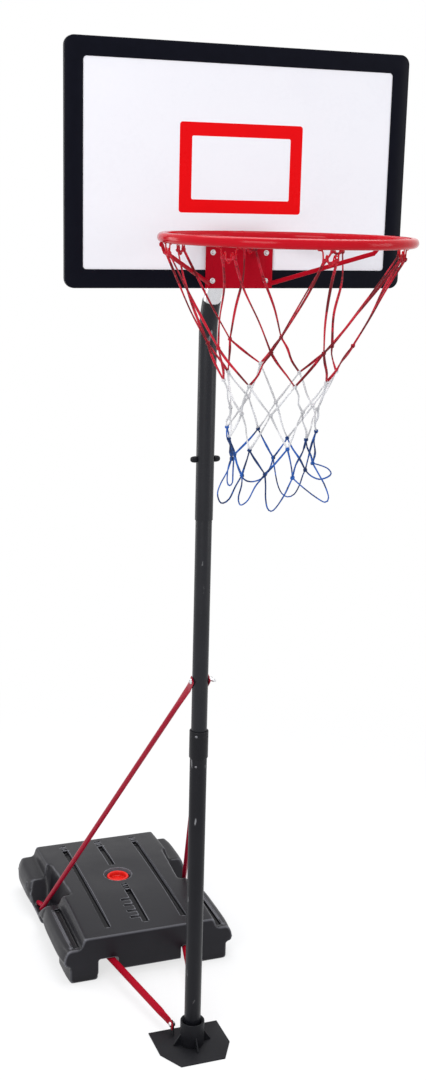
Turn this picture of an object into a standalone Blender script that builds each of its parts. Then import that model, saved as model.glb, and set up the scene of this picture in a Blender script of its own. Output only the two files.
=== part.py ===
"""Free-standing basketball stand: weighted tank, braced telescopic pole, board, ring and net.

Metres, +Z up. The origin is on the floor, on the pole's axis. The board faces -Y.
"""
import math

import bmesh
import bpy
from mathutils import Matrix, Vector

GAP = 0.0003                      # clearance between two pieces that touch
SMOOTH_ANGLE = math.radians(35)
SMALL_STEPS = 8                   # facets round a fastener or its hole
POLE_STEPS = 28                   # facets round the poles and what fits on them

# Foot plate and the collar that takes the pole
FOOT_HALF_WIDTH = 0.0885
FOOT_FRONT_HALF_WIDTH = 0.0550
FOOT_BACK_Y = 0.0690
FOOT_CHAMFER_Y = -0.0240
FOOT_FRONT_Y = -0.0840
FOOT_THICKNESS = 0.0030
COLLAR_RADIUS = 0.0292
COLLAR_TOP = 0.0650
COLLAR_MOUTH = 0.0070             # width and depth of the chamfered mouth
GUSSET_REACH = 0.0180
GUSSET_HEIGHT = 0.0280
GUSSET_THICKNESS = 0.0030

# Telescopic pole, three tubes
LOWER_POLE_RADIUS = 0.0197
UPPER_POLE_RADIUS = 0.0197
POLE_WALL = 0.0012
INNER_POLE_RADIUS = LOWER_POLE_RADIUS - POLE_WALL - GAP
LOWER_POLE_TOP = 0.7900
MID_POLE_BOTTOM = LOWER_POLE_TOP - 0.1300
KNOB_Z = 1.4350
MID_POLE_TOP = KNOB_Z + 0.0300
UPPER_POLE_BOTTOM = KNOB_Z - 0.1350
BEND_START = 1.7000
BEND_RADIUS = 0.1740
BEND_ANGLE_POLE = math.radians(26)
BEND_ANGLE_NECK = math.radians(45)
COUPLING_BOTTOM = LOWER_POLE_TOP - 0.0480
COUPLING_TOP = LOWER_POLE_TOP + 0.0180
COUPLING_RADIUS = 0.0218
COUPLING_SCREW_Z = COUPLING_TOP - 0.0090
SNAP_BUTTON_Z = LOWER_POLE_TOP - 0.0650
SNAP_BUTTON_RADIUS = 0.0031
FASTENER_TURN = math.radians(35)  # how far the small fasteners are turned from the front to the left
KNOB_RADIUS = 0.0072
KNOB_LENGTH = 0.0135
KNOB_STEM_RADIUS = 0.0030
NECK_PLUG = math.radians(12)      # where on the bend the neck's plugged end starts

# Board
BOARD_WIDTH = 0.7100
BOARD_HEIGHT = 0.4600
BOARD_DEPTH = 0.0120
BOARD_BOTTOM = 1.8120
BOARD_FRONT_Y = -0.1710
BOARD_CORNER = 0.0190
FRAME_BORDER = 0.0360
FRAME_LIP = 0.0020                # frame material in front of the panel
PANEL_THICKNESS = 0.0030
PANEL_TUCK = 0.0120               # how far the panel reaches in under the frame
RIB_X = 0.0565                    # the upright ribs lie behind the rim bolts
RIB_WIDTH = 0.0340
CROSS_RIB_Z = BOARD_BOTTOM + 0.2480
CROSS_RIB_HEIGHT = 0.0500
NECK_TOP = CROSS_RIB_Z + 0.0300

# Rim
RIM_PLATE_HEIGHT = 0.0942
SHELF_TOP = BOARD_BOTTOM + RIM_PLATE_HEIGHT
RING_RADIUS = 0.2285
RING_TUBE_RADIUS = 0.0090
RING_HEIGHT = SHELF_TOP + GAP + RING_TUBE_RADIUS
RING_TUBE_WALL = 0.0015
RING_REACH = 0.2420               # ring centre in front of the board
RING_SEAM = 0.0016                # butt joint at the back of the ring
RIM_PLATE_WIDTH = 0.1420
RIM_PLATE_THICKNESS = 0.0025
RIM_SHELF_DEPTH = 0.0125
RIM_BOLT_Z = (BOARD_BOTTOM + 0.0150, BOARD_BOTTOM + 0.0700)
RIM_BOLT_RADIUS = 0.0030
RING_BRACE_RADIUS = 0.0034
RING_BRACE_KNEE = 0.0150          # how far the bend near the ring lies under a straight line
RING_BRACE_ANGLE = math.radians(19)
HOOK_COUNT = 8
HOOK_TURN = math.radians(-4)       # the ring is welded on with its hooks turned a little
HOOK_INSET = 0.0040               # hooks are welded this far inside the ring's centre line
HOOK_WIRE = 0.0016
HOOK_CURL = 0.0060
HOOK_DROP = 0.0050                # straight wire between the ring and the curl

# Brackets behind the board
BRACKET_THICKNESS = 0.0025
BRACKET_BOLT_RADIUS = 0.0030
EAR_X = UPPER_POLE_RADIUS + 2 * GAP
BRACKET_SCREW_RADIUS = 0.0015
UPPER_BRACKET_HEIGHT = 0.0440
UPPER_BRACKET_WIDTH = 0.1420

# Net: each level is a drop below the ring and a radius
NET_CORD_RADIUS = 0.0014
NET_ARCH = HOOK_WIRE + NET_CORD_RADIUS + GAP     # bow of the cord over a hook's wire
NET_BOW = 0.0030
NET_LEVELS = ((0.1925, 0.1350), (0.2485, 0.1130), (0.3125, 0.0940), (0.3675, 0.0900), (0.4175, 0.0840))
NET_LOOP_DROP = 0.4855
NET_TUCK = 0.0240                 # how far the long top strands are drawn in halfway down
NET_LOOP_SPLAY = 0.0160

# Braces and bars
BRACE_BOLT_Z = 0.9270
BRACE_TUBE_RADIUS = 0.0062
BRACE_FLAT = 0.0016               # half thickness of a flattened end
BRACE_WALL = 0.0010
BRACE_SOCKET_DEPTH = 0.0180
BRACE_TOE_OUT = 0.0020
BRACE_TOE_DROP = 0.0240           # the toe slopes down from the bend into the socket
BAR_TUBE_RADIUS = 0.0090
BAR_WALL = 0.0012
LUG_X = 0.0335
LUG_THICKNESS = 0.0030
LUG_BOLT_Y = 0.0490
LUG_BOLT_Z = 0.0290
BOLT_RADIUS = 0.0030

# Water tank
TANK_FRONT_Y = 0.3375
TANK_BACK_Y = 0.8910
TANK_TOP = 0.1230
TANK_SHOULDER_TOP = 0.0960
TANK_HALF_WIDTH = 0.2270
TANK_DECK_HALF_WIDTH = 0.1720
TANK_WAIST_HALF_WIDTH = 0.1790
TANK_WAIST_Y = (TANK_FRONT_Y + 0.2175, TANK_BACK_Y - 0.1310)
TANK_FLOOR = 0.0210
TANK_FOOT_WIDTH = 0.0740
TANK_FOOT_LENGTH = 0.1100
TANK_FOOT_INSET = 0.0110
TANK_FOOT_STEP = 0.0020           # feet start this far in from the front and back walls
TANK_WALL = 0.0040
TANK_EDGE = 0.0060
RECESS_X = (0.0850, 0.1420)
RECESS_TOP = 0.0600
RECESS_BACK_Y = TANK_FRONT_Y + 0.1225
TANK_BOLT_X = (RECESS_X[0] + RECESS_X[1]) / 2
TANK_BOLT_Y = RECESS_BACK_Y - 0.0400
SCREW_BOSS = 0.0180               # solid plastic over each recess that takes the bar's screw
GROOVE_X = 0.1050
GROOVE_WIDTH = 0.0140
GROOVE_DEPTH = 0.0080
GROOVE_Y = (TANK_FRONT_Y + 0.0385, TANK_BACK_Y - 0.0230)
GROOVE_RIBS = 3                   # cross ribs at the rear end of each groove
RIB_PITCH = 0.0120
RIB_LENGTH = 0.0045
CAP_Y = 0.6430
SHORT_GROOVE_FRONT_Y = (GROOVE_Y[0], CAP_Y - 0.0580)
SHORT_GROOVE_BACK_Y = (CAP_Y + 0.0580, GROOVE_Y[1])
CAP_RADIUS = 0.0280
CAP_WELL_RADIUS = 0.0400
CAP_WELL_DEPTH = 0.0050
FILLER_RADIUS = 0.0210

BRACE_FOOT = (TANK_HALF_WIDTH - 0.0200, TANK_WAIST_Y[1] - 0.1000, 0.0560)
BRACE_TOE = (BRACE_FOOT[0] + BRACE_TOE_OUT, TANK_WAIST_Y[1] + BRACE_SOCKET_DEPTH - BRACE_TOE_OUT,
             BRACE_FOOT[2] - BRACE_TOE_DROP)
BOARD_BACK_Y = BOARD_FRONT_Y + BOARD_DEPTH
PLATE_BACK_Y = BOARD_FRONT_Y - GAP
PLATE_FRONT_Y = PLATE_BACK_Y - RIM_PLATE_THICKNESS
RING_CENTRE_Y = BOARD_FRONT_Y - RING_REACH
BRACKET_FRONT_Y = BOARD_BACK_Y + GAP
HOOK_RING_RADIUS = RING_RADIUS - HOOK_INSET
HOOK_WELD_Z = RING_HEIGHT - math.sqrt(RING_TUBE_RADIUS ** 2 - HOOK_INSET ** 2) - 2 * GAP

# Turns that stand a flat outline's X and Y along two of the object's axes
FLAT_TO_YZ = Matrix(((0, 0, 1, 0), (1, 0, 0, 0), (0, 1, 0, 0), (0, 0, 0, 1)))
FLAT_TO_YX = Matrix(((0, 1, 0, 0), (1, 0, 0, 0), (0, 0, -1, 0), (0, 0, 0, 1)))


def remove_default_objects():
    for old in list(bpy.data.objects):
        bpy.data.objects.remove(old, do_unlink=True)


remove_default_objects()
PARTS = bpy.data.collections.new("Basketball stand")
CUTTERS = bpy.data.collections.new("Cutters")
bpy.context.scene.collection.children.link(PARTS)
bpy.context.scene.collection.children.link(CUTTERS)


def make_material(name, colour, roughness, metallic=0.0):
    material = bpy.data.materials.new(name)
    material.use_nodes = True
    shader = material.node_tree.nodes["Principled BSDF"]
    shader.inputs["Base Color"].default_value = (*colour, 1.0)
    shader.inputs["Roughness"].default_value = roughness
    shader.inputs["Metallic"].default_value = metallic
    material.diffuse_color = (*colour, 1.0)
    return material


CHARCOAL_PAINT = make_material("Charcoal paint", (0.035, 0.036, 0.042), 0.38)
BLACK_STEEL = make_material("Black steel", (0.018, 0.018, 0.022), 0.45)
BLACK_PLASTIC = make_material("Black plastic", (0.012, 0.013, 0.018), 0.40)
TANK_PLASTIC = make_material("Tank plastic", (0.045, 0.045, 0.052), 0.42)
CRIMSON_PAINT = make_material("Crimson paint", (0.350, 0.010, 0.035), 0.32)
RING_PAINT = make_material("Ring paint", (0.560, 0.014, 0.022), 0.20)
CAP_PLASTIC = make_material("Cap plastic", (0.800, 0.050, 0.020), 0.40)
ZINC = make_material("Zinc plate", (0.620, 0.620, 0.640), 0.28, 1.0)
PANEL_PLASTIC = make_material("Panel plastic", (0.880, 0.870, 0.920), 0.30)
CORD_RED = make_material("Red cord", (0.700, 0.030, 0.040), 0.80)
CORD_WHITE = make_material("White cord", (0.850, 0.850, 0.860), 0.80)
CORD_BLUE = make_material("Blue cord", (0.040, 0.110, 0.480), 0.80)


def adopt(obj, name, material):
    """Name an object, give it a material and put it among the parts."""
    obj.name = name
    obj.data.name = name
    for collection in list(obj.users_collection):
        collection.objects.unlink(obj)
    PARTS.objects.link(obj)
    obj.data.materials.clear()
    obj.data.materials.append(material)
    if obj.type == "MESH":
        obj.data.shade_smooth()
        obj.data.set_sharp_from_angle(angle=SMOOTH_ANGLE)
    return obj


def mesh_object(name, mesh):
    obj = bpy.data.objects.new(name, mesh)
    PARTS.objects.link(obj)
    return obj


def bevel_edges(obj, width, segments=2, angle=math.radians(40)):
    modifier = obj.modifiers.new("Rounded edges", "BEVEL")
    modifier.width = width
    modifier.segments = segments
    modifier.limit_method = "ANGLE"
    modifier.angle_limit = angle
    modifier.harden_normals = False
    return modifier


def bake(obj):
    """Turn an object's evaluated shape into its own mesh, with loose caps welded."""
    depsgraph = bpy.context.evaluated_depsgraph_get()
    mesh = bpy.data.meshes.new_from_object(obj.evaluated_get(depsgraph))
    mesh.transform(obj.matrix_world)
    work = bmesh.new()
    work.from_mesh(mesh)
    bmesh.ops.remove_doubles(work, verts=work.verts, dist=0.00001)
    work.to_mesh(mesh)
    work.free()
    baked = mesh_object(obj.name + " mesh", mesh)
    bpy.data.objects.remove(obj, do_unlink=True)
    return baked


def combine(target, tools, operation):
    """Apply EXACT Booleans of one kind, then put the tools away."""
    for tool in tools:
        modifier = target.modifiers.new(operation.title(), "BOOLEAN")
        modifier.operation = operation
        modifier.solver = "EXACT"
        modifier.object = tool
    result = bake(target)
    for tool in tools:
        bpy.data.objects.remove(tool, do_unlink=True)
    return result


def cut(target, tools):
    return combine(target, tools, "DIFFERENCE")


def unite(target, tools):
    return combine(target, tools, "UNION")


def box(low, high):
    """Box between two corners."""
    low, high = Vector(low), Vector(high)
    work = bmesh.new()
    bmesh.ops.create_cube(work, size=1.0)
    bmesh.ops.scale(work, verts=work.verts, vec=high - low)
    bmesh.ops.translate(work, verts=work.verts, vec=(low + high) / 2)
    mesh = bpy.data.meshes.new("Box")
    work.to_mesh(mesh)
    work.free()
    return mesh_object("Box", mesh)


def cylinder(start, end, radius, segments=24, end_radius=None):
    """Cylinder or cone between two points."""
    start, end = Vector(start), Vector(end)
    work = bmesh.new()
    bmesh.ops.create_cone(work, cap_ends=True, segments=segments, radius1=radius,
                          radius2=radius if end_radius is None else end_radius,
                          depth=(end - start).length)
    turn = (end - start).to_track_quat("Z", "Y").to_matrix().to_4x4()
    work.transform(Matrix.Translation((start + end) / 2) @ turn)
    mesh = bpy.data.meshes.new("Cylinder")
    work.to_mesh(mesh)
    work.free()
    return mesh_object("Cylinder", mesh)


def turned(profile, steps=40, place=(0, 0, 0), direction=(0, 0, 1), closed=False):
    """Turn a profile of (radius, height) pairs about its axis, outer side first, top to bottom."""
    work = bmesh.new()
    points = [work.verts.new((radius, 0.0, height)) for radius, height in profile]
    for first, second in zip(points, points[1:]):
        work.edges.new((first, second))
    if closed:
        work.edges.new((points[-1], points[0]))
    mesh = bpy.data.meshes.new("Profile")
    work.to_mesh(mesh)
    work.free()
    obj = mesh_object("Turned", mesh)
    screw = obj.modifiers.new("Screw", "SCREW")
    screw.steps = steps
    screw.render_steps = steps
    screw.use_merge_vertices = True
    screw.merge_threshold = 0.00001
    turn = Vector(direction).to_track_quat("Z", "Y").to_matrix().to_4x4()
    obj.matrix_world = Matrix.Translation(place) @ turn
    return bake(obj)


def flat_outline(loops, thickness, matrix=None):
    """Extrude closed outlines in the XY plane; an inner loop makes a window."""
    curve = bpy.data.curves.new("Outline", "CURVE")
    curve.dimensions = "2D"
    curve.fill_mode = "BOTH"
    curve.extrude = thickness / 2
    for loop in loops:
        spline = curve.splines.new("POLY")
        spline.points.add(len(loop) - 1)
        spline.use_cyclic_u = True
        for point, (x, y) in zip(spline.points, loop):
            point.co = (x, y, 0.0, 1.0)
    obj = bpy.data.objects.new("Outline", curve)
    PARTS.objects.link(obj)
    if matrix is not None:
        obj.matrix_world = matrix
    return bake(obj)


def rod(points, radius, resolution=3, closed=False):
    """Solid round bar along a line of points."""
    curve = bpy.data.curves.new("Rod", "CURVE")
    curve.dimensions = "3D"
    curve.bevel_depth = radius
    curve.bevel_resolution = resolution
    curve.use_fill_caps = not closed
    spline = curve.splines.new("POLY")
    spline.points.add(len(points) - 1)
    spline.use_cyclic_u = closed
    for point, place in zip(spline.points, points):
        point.co = (*place, 1.0)
    obj = bpy.data.objects.new("Rod", curve)
    PARTS.objects.link(obj)
    return bake(obj)


def overrun(points, length):
    """The same line, made longer at both ends, for a bore that opens at the ends."""
    points = [Vector(point) for point in points]
    first = points[0] + (points[0] - points[1]).normalized() * length
    last = points[-1] + (points[-1] - points[-2]).normalized() * length
    return [first, *points, last]


def bored_tube(points, radius, wall, resolution=6, bore_resolution=4):
    outer = rod(points, radius, resolution)
    bore = rod(overrun(points, 0.002), radius - wall, bore_resolution)
    return cut(outer, [bore])


def flattened_tube(path, sides, stations, wall):
    """Loft a tube whose section goes from round to flat.

    path gives the points, sides the direction of each section's wide half axis,
    and stations the (wide, thin) half axes. The walls stay open at both ends.
    """
    count = 10
    path = [Vector(point) for point in path]
    rings = []
    for index, (point, side, (wide, thin)) in enumerate(zip(path, sides, stations)):
        ahead = path[min(index + 1, len(path) - 1)] - path[max(index - 1, 0)]
        ahead.normalize()
        across = (Vector(side) - ahead * ahead.dot(Vector(side))).normalized()
        up = ahead.cross(across)
        ring = []
        for inset in (0.0, wall):
            for step in range(count):
                angle = 2 * math.pi * step / count
                ring.append(point + across * (wide - inset) * math.cos(angle)
                            + up * (thin - inset) * math.sin(angle))
        rings.append(ring)
    work = bmesh.new()
    verts = [[work.verts.new(place) for place in ring] for ring in rings]
    for near, far in zip(verts, verts[1:]):
        for step in range(count):
            after = (step + 1) % count
            work.faces.new((near[step], near[after], far[after], far[step]))
            work.faces.new((near[count + step], far[count + step], far[count + after], near[count + after]))
    for end, flip in ((verts[0], False), (verts[-1], True)):
        for step in range(count):
            after = (step + 1) % count
            face = (end[step], end[count + step], end[count + after], end[after])
            work.faces.new(face[::-1] if flip else face)
    bmesh.ops.recalc_face_normals(work, faces=work.faces)
    mesh = bpy.data.meshes.new("Flattened tube")
    work.to_mesh(mesh)
    work.free()
    return mesh_object("Flattened tube", mesh)


def bolt_hole(centre, axis, radius=BOLT_RADIUS, reach=0.01):
    """Cutter for a bolt's hole, with the usual clearance."""
    centre, along = Vector(centre), Vector(axis) * reach
    return cylinder(centre - along, centre + along, radius + GAP, SMALL_STEPS)


def pan_bolt(head, tip, shank_radius=BOLT_RADIUS, head_radius=None, head_height=None):
    """Round-head bolt from under its head to its tip; the head sits outside the first point."""
    head, tip = Vector(head), Vector(tip)
    head_radius = head_radius or shank_radius * 2.1
    head_height = head_height or shank_radius * 1.2
    length = (tip - head).length
    profile = [(0.0, head_height), (head_radius * 0.65, head_height * 0.82),
               (head_radius, head_height * 0.12), (head_radius, 0.0),
               (shank_radius, 0.0), (shank_radius, -length), (0.0, -length)]
    return turned(profile, SMALL_STEPS, head, head - tip)


def hex_nut(face, away, bore_radius, across=0.0100, height=0.0048):
    """Hexagon nut that lies on a face and points away from it."""
    face, away = Vector(face), Vector(away).normalized()
    body = cylinder(face, face + away * height, across / 2 / math.cos(math.pi / 6), 6)
    bore = cylinder(face - away * 0.001, face + away * (height + 0.001), bore_radius, SMALL_STEPS)
    return cut(body, [bore])


def rounded_rectangle(width, height, radius, steps=6):
    """Outline of a rectangle with round corners, centred on the origin."""
    points = []
    for quarter, (sx, sy) in enumerate(((1, 1), (-1, 1), (-1, -1), (1, -1))):
        cx, cy = sx * (width / 2 - radius), sy * (height / 2 - radius)
        for step in range(steps + 1):
            angle = math.pi / 2 * (quarter + step / steps)
            points.append((cx + radius * math.cos(angle), cy + radius * math.sin(angle)))
    return points


def bend_points(start_angle, end_angle, steps):
    """Centre line of the pole's forward bend."""
    points = []
    for step in range(steps + 1):
        angle = start_angle + (end_angle - start_angle) * step / steps
        forward = BEND_RADIUS * (1 - math.cos(angle))
        points.append((0.0, -forward, BEND_START + BEND_RADIUS * math.sin(angle)))
    return points


def neck_points():
    """Centre line of the neck: on with the bend, then back to upright behind the board."""
    points = bend_points(NECK_PLUG, BEND_ANGLE_NECK, 7)
    _, y, z = points[-1]
    centre_y = y + BEND_RADIUS * math.cos(BEND_ANGLE_NECK)
    centre_z = z + BEND_RADIUS * math.sin(BEND_ANGLE_NECK)
    for step in range(1, 6):
        angle = BEND_ANGLE_NECK * (1 - step / 5)
        points.append((0.0, centre_y - BEND_RADIUS * math.cos(angle),
                       centre_z - BEND_RADIUS * math.sin(angle)))
    points.append((0.0, points[-1][1], NECK_TOP))
    return points


def neck_y_at(height):
    """Y of the neck's centre line at a height."""
    points = neck_points()
    for (_, y0, z0), (_, y1, z1) in zip(points, points[1:]):
        if z0 <= height <= z1:
            return y0 + (y1 - y0) * (height - z0) / (z1 - z0)
    return points[-1][1]


# Foot plate: flat steel with its two front corners cut off and two lugs folded up for the bars
def build_foot_plate():
    half = [(FOOT_FRONT_HALF_WIDTH, FOOT_FRONT_Y), (FOOT_HALF_WIDTH, FOOT_CHAMFER_Y),
            (FOOT_HALF_WIDTH, FOOT_BACK_Y)]
    outline = half + [(-x, y) for x, y in reversed(half)]
    plate = flat_outline([outline], FOOT_THICKNESS, Matrix.Translation((0, 0, FOOT_THICKNESS / 2)))
    low, high = LUG_BOLT_Y - 0.0095, LUG_BOLT_Y + 0.0115
    top = LUG_BOLT_Z + 0.0085
    tab = [(low, FOOT_THICKNESS / 2), (high, FOOT_THICKNESS / 2), (high, top - 0.0070),
           (high - 0.0055, top), (low + 0.0055, top), (low, top - 0.0070)]
    lugs, holes = [], []
    for side in (-1, 1):
        stand = Matrix.Translation((side * LUG_X, 0, 0)) @ FLAT_TO_YZ
        lugs.append(flat_outline([tab], LUG_THICKNESS, stand))
        holes.append(bolt_hole((side * LUG_X, LUG_BOLT_Y, LUG_BOLT_Z), (1, 0, 0)))
    plate = cut(unite(plate, lugs), holes)
    adopt(plate, "foot_plate", BLACK_STEEL)


# Collar: stands on the foot plate with four gussets and takes the lower pole
def build_foot_collar():
    bottom = FOOT_THICKNESS + GAP
    bore = LOWER_POLE_RADIUS + GAP
    profile = [(bore + COLLAR_MOUTH, COLLAR_TOP), (COLLAR_RADIUS - 0.0008, COLLAR_TOP),
               (COLLAR_RADIUS, COLLAR_TOP - 0.0008), (COLLAR_RADIUS, bottom),
               (bore, bottom), (bore, COLLAR_TOP - COLLAR_MOUTH)]
    collar = turned(profile, POLE_STEPS, closed=True)
    inner = COLLAR_RADIUS - 0.0020
    reach = COLLAR_RADIUS + GUSSET_REACH
    outline = [(inner, 0.0002), (reach, 0.0002), (reach, 0.002), (inner + 0.002, GUSSET_HEIGHT),
               (inner, GUSSET_HEIGHT)]
    gussets = []
    for quarter in range(4):
        turn = Matrix.Rotation(math.pi / 2 * quarter, 4, "Z") @ Matrix.Translation((0, 0, bottom))
        upright = turn @ Matrix.Rotation(math.pi / 2, 4, "X")
        gussets.append(flat_outline([outline], GUSSET_THICKNESS, upright))
    adopt(unite(collar, gussets), "foot_collar", BLACK_PLASTIC)


# Lower pole: from the foot plate to the coupling
def build_lower_pole():
    bottom = FOOT_THICKNESS + GAP
    bore = LOWER_POLE_RADIUS - POLE_WALL
    pole = turned([(LOWER_POLE_RADIUS, LOWER_POLE_TOP), (LOWER_POLE_RADIUS, bottom),
                   (bore, bottom), (bore, LOWER_POLE_TOP)], POLE_STEPS, closed=True)
    hole = cylinder((0, 0, SNAP_BUTTON_Z), radial_point(0.03, SNAP_BUTTON_Z),
                    SNAP_BUTTON_RADIUS + GAP, SMALL_STEPS)
    adopt(cut(pole, [hole]), "lower_pole", CHARCOAL_PAINT)


def radial_point(radius, height):
    """Point on the line along which the small fasteners face, to the front left."""
    return (-radius * math.sin(FASTENER_TURN), -radius * math.cos(FASTENER_TURN), height)


# Mid pole: plugs into the lower pole and carries the brace bolt
def build_mid_pole():
    bore = INNER_POLE_RADIUS - POLE_WALL
    pole = turned([(INNER_POLE_RADIUS, MID_POLE_TOP), (INNER_POLE_RADIUS, MID_POLE_BOTTOM),
                   (bore, MID_POLE_BOTTOM), (bore, MID_POLE_TOP)], POLE_STEPS, closed=True)
    brace_hole = bolt_hole((0, 0, BRACE_BOLT_Z), (1, 0, 0), reach=0.03)
    button_hole = cylinder((0, 0, SNAP_BUTTON_Z), radial_point(0.03, SNAP_BUTTON_Z),
                    SNAP_BUTTON_RADIUS + GAP, SMALL_STEPS)
    adopt(cut(pole, [brace_hole, button_hole]), "mid_pole", CHARCOAL_PAINT)


# Coupling: plastic ring over the joint of the lower and mid poles
def build_coupling():
    wide = LOWER_POLE_RADIUS + GAP
    narrow = INNER_POLE_RADIUS + GAP
    step = LOWER_POLE_TOP + GAP
    edge = 0.0012
    profile = [(COUPLING_RADIUS - edge, COUPLING_TOP), (COUPLING_RADIUS, COUPLING_TOP - edge),
               (COUPLING_RADIUS, COUPLING_BOTTOM + edge), (COUPLING_RADIUS - edge, COUPLING_BOTTOM),
               (wide, COUPLING_BOTTOM), (wide, step), (narrow, step), (narrow, COUPLING_TOP)]
    ring = turned(profile, POLE_STEPS, closed=True)
    hole = cylinder((0, 0, COUPLING_SCREW_Z), radial_point(0.03, COUPLING_SCREW_Z), 0.0018, SMALL_STEPS)
    adopt(cut(ring, [hole]), "pole_coupling", BLACK_PLASTIC)
    seat = radial_point(COUPLING_RADIUS + GAP, COUPLING_SCREW_Z)
    tip = radial_point(INNER_POLE_RADIUS + GAP * 2, COUPLING_SCREW_Z)
    screw = pan_bolt(seat, tip, 0.0015, 0.0032, 0.0016)
    adopt(screw, "coupling_screw", ZINC)


# Snap button: sprung pin that locks the mid pole in the lower pole
def build_snap_button():
    inner = INNER_POLE_RADIUS - POLE_WALL
    proud = LOWER_POLE_RADIUS + 0.0022
    end = inner - 0.0030
    pin = [(0.0, proud), (SNAP_BUTTON_RADIUS * 0.5, proud - 0.0003),
           (SNAP_BUTTON_RADIUS * 0.9, proud - 0.0014), (SNAP_BUTTON_RADIUS, inner),
           (SNAP_BUTTON_RADIUS, end), (0.0, end)]
    outward = Vector(radial_point(1.0, 0.0))
    pin = turned(pin, SMALL_STEPS, (0, 0, SNAP_BUTTON_Z), outward)
    leaf = [radial_point(end, SNAP_BUTTON_Z + 0.004), radial_point(end - 0.0006, SNAP_BUTTON_Z - 0.020),
            radial_point(-end * 0.2, SNAP_BUTTON_Z - 0.046), radial_point(-end * 0.93, SNAP_BUTTON_Z - 0.020),
            radial_point(-end * 0.96, SNAP_BUTTON_Z)]
    spring = rod(leaf, 0.0012, 2)
    adopt(unite(pin, [spring]), "snap_button", ZINC)


# Upper pole: sleeve over the mid pole, its top bent towards the board
def build_upper_pole():
    line = [(0, 0, UPPER_POLE_BOTTOM), (0, 0, (UPPER_POLE_BOTTOM + BEND_START) / 2)]
    line += bend_points(0.0, BEND_ANGLE_POLE, 6)
    tube = bored_tube(line, UPPER_POLE_RADIUS, POLE_WALL, 8, 12)
    hole = bolt_hole((0, 0, KNOB_Z), (1, 0, 0), KNOB_STEM_RADIUS, 0.03)
    adopt(cut(tube, [hole]), "upper_pole", CHARCOAL_PAINT)


# Two clamp knobs that press on the mid pole through the upper pole
def build_height_knobs():
    seat = UPPER_POLE_RADIUS + GAP * 2
    tip = INNER_POLE_RADIUS + GAP / 2
    for side, name in ((-1, "height_knob_left"), (1, "height_knob_right")):
        profile = [(0.0, seat + KNOB_LENGTH), (KNOB_RADIUS * 0.45, seat + KNOB_LENGTH),
                   (KNOB_RADIUS * 0.72, seat + KNOB_LENGTH * 0.9),
                   (KNOB_RADIUS * 0.92, seat + KNOB_LENGTH * 0.6),
                   (KNOB_RADIUS, seat + KNOB_LENGTH * 0.25), (KNOB_RADIUS * 0.94, seat),
                   (KNOB_STEM_RADIUS, seat), (KNOB_STEM_RADIUS, tip), (0.0, tip)]
        knob = turned(profile, 18, (0, 0, KNOB_Z), (side, 0, 0))
        flutes = []
        for step in range(6):
            angle = 2 * math.pi * step / 6
            y, z = math.cos(angle) * KNOB_RADIUS * 1.12, KNOB_Z + math.sin(angle) * KNOB_RADIUS * 1.12
            flutes.append(cylinder((side * (seat - 0.001), y, z), (side * (seat + 0.02), y, z), 0.0018, 6))
        adopt(cut(knob, flutes), name, BLACK_PLASTIC)


# Neck: bright tube plugged into the bent pole, upright again behind the board
def build_pole_neck():
    radius = UPPER_POLE_RADIUS - POLE_WALL - GAP
    tube = bored_tube(neck_points(), radius, POLE_WALL, 6, 5)
    holes = []
    for height in (bracket_bolt_z(), CROSS_RIB_Z):
        holes.append(bolt_hole((0, neck_y_at(height), height), (1, 0, 0), BRACKET_BOLT_RADIUS, 0.03))
    adopt(cut(tube, holes), "pole_neck", ZINC)


def bracket_bolt_z():
    return (RIM_BOLT_Z[0] + RIM_BOLT_Z[1]) / 2


# Plastic cap in the neck's open top
def build_neck_cap():
    radius = UPPER_POLE_RADIUS - POLE_WALL - GAP
    plug = radius - POLE_WALL - GAP * 3
    y = neck_points()[-1][1]
    profile = [(0.0, 0.0035), (radius * 0.7, 0.0030), (radius, 0.0012), (radius, GAP),
               (plug, GAP), (plug, -0.014), (0.0, -0.014)]
    adopt(turned(profile, 24, (0, y, NECK_TOP)), "neck_cap", BLACK_PLASTIC)


def board_matrix(depth_centre_y):
    """Stand an XY outline upright behind or in front of the board, centred on it."""
    centre = (0, depth_centre_y, BOARD_BOTTOM + BOARD_HEIGHT / 2)
    return Matrix.Translation(centre) @ Matrix.Rotation(math.pi / 2, 4, "X")


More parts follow.
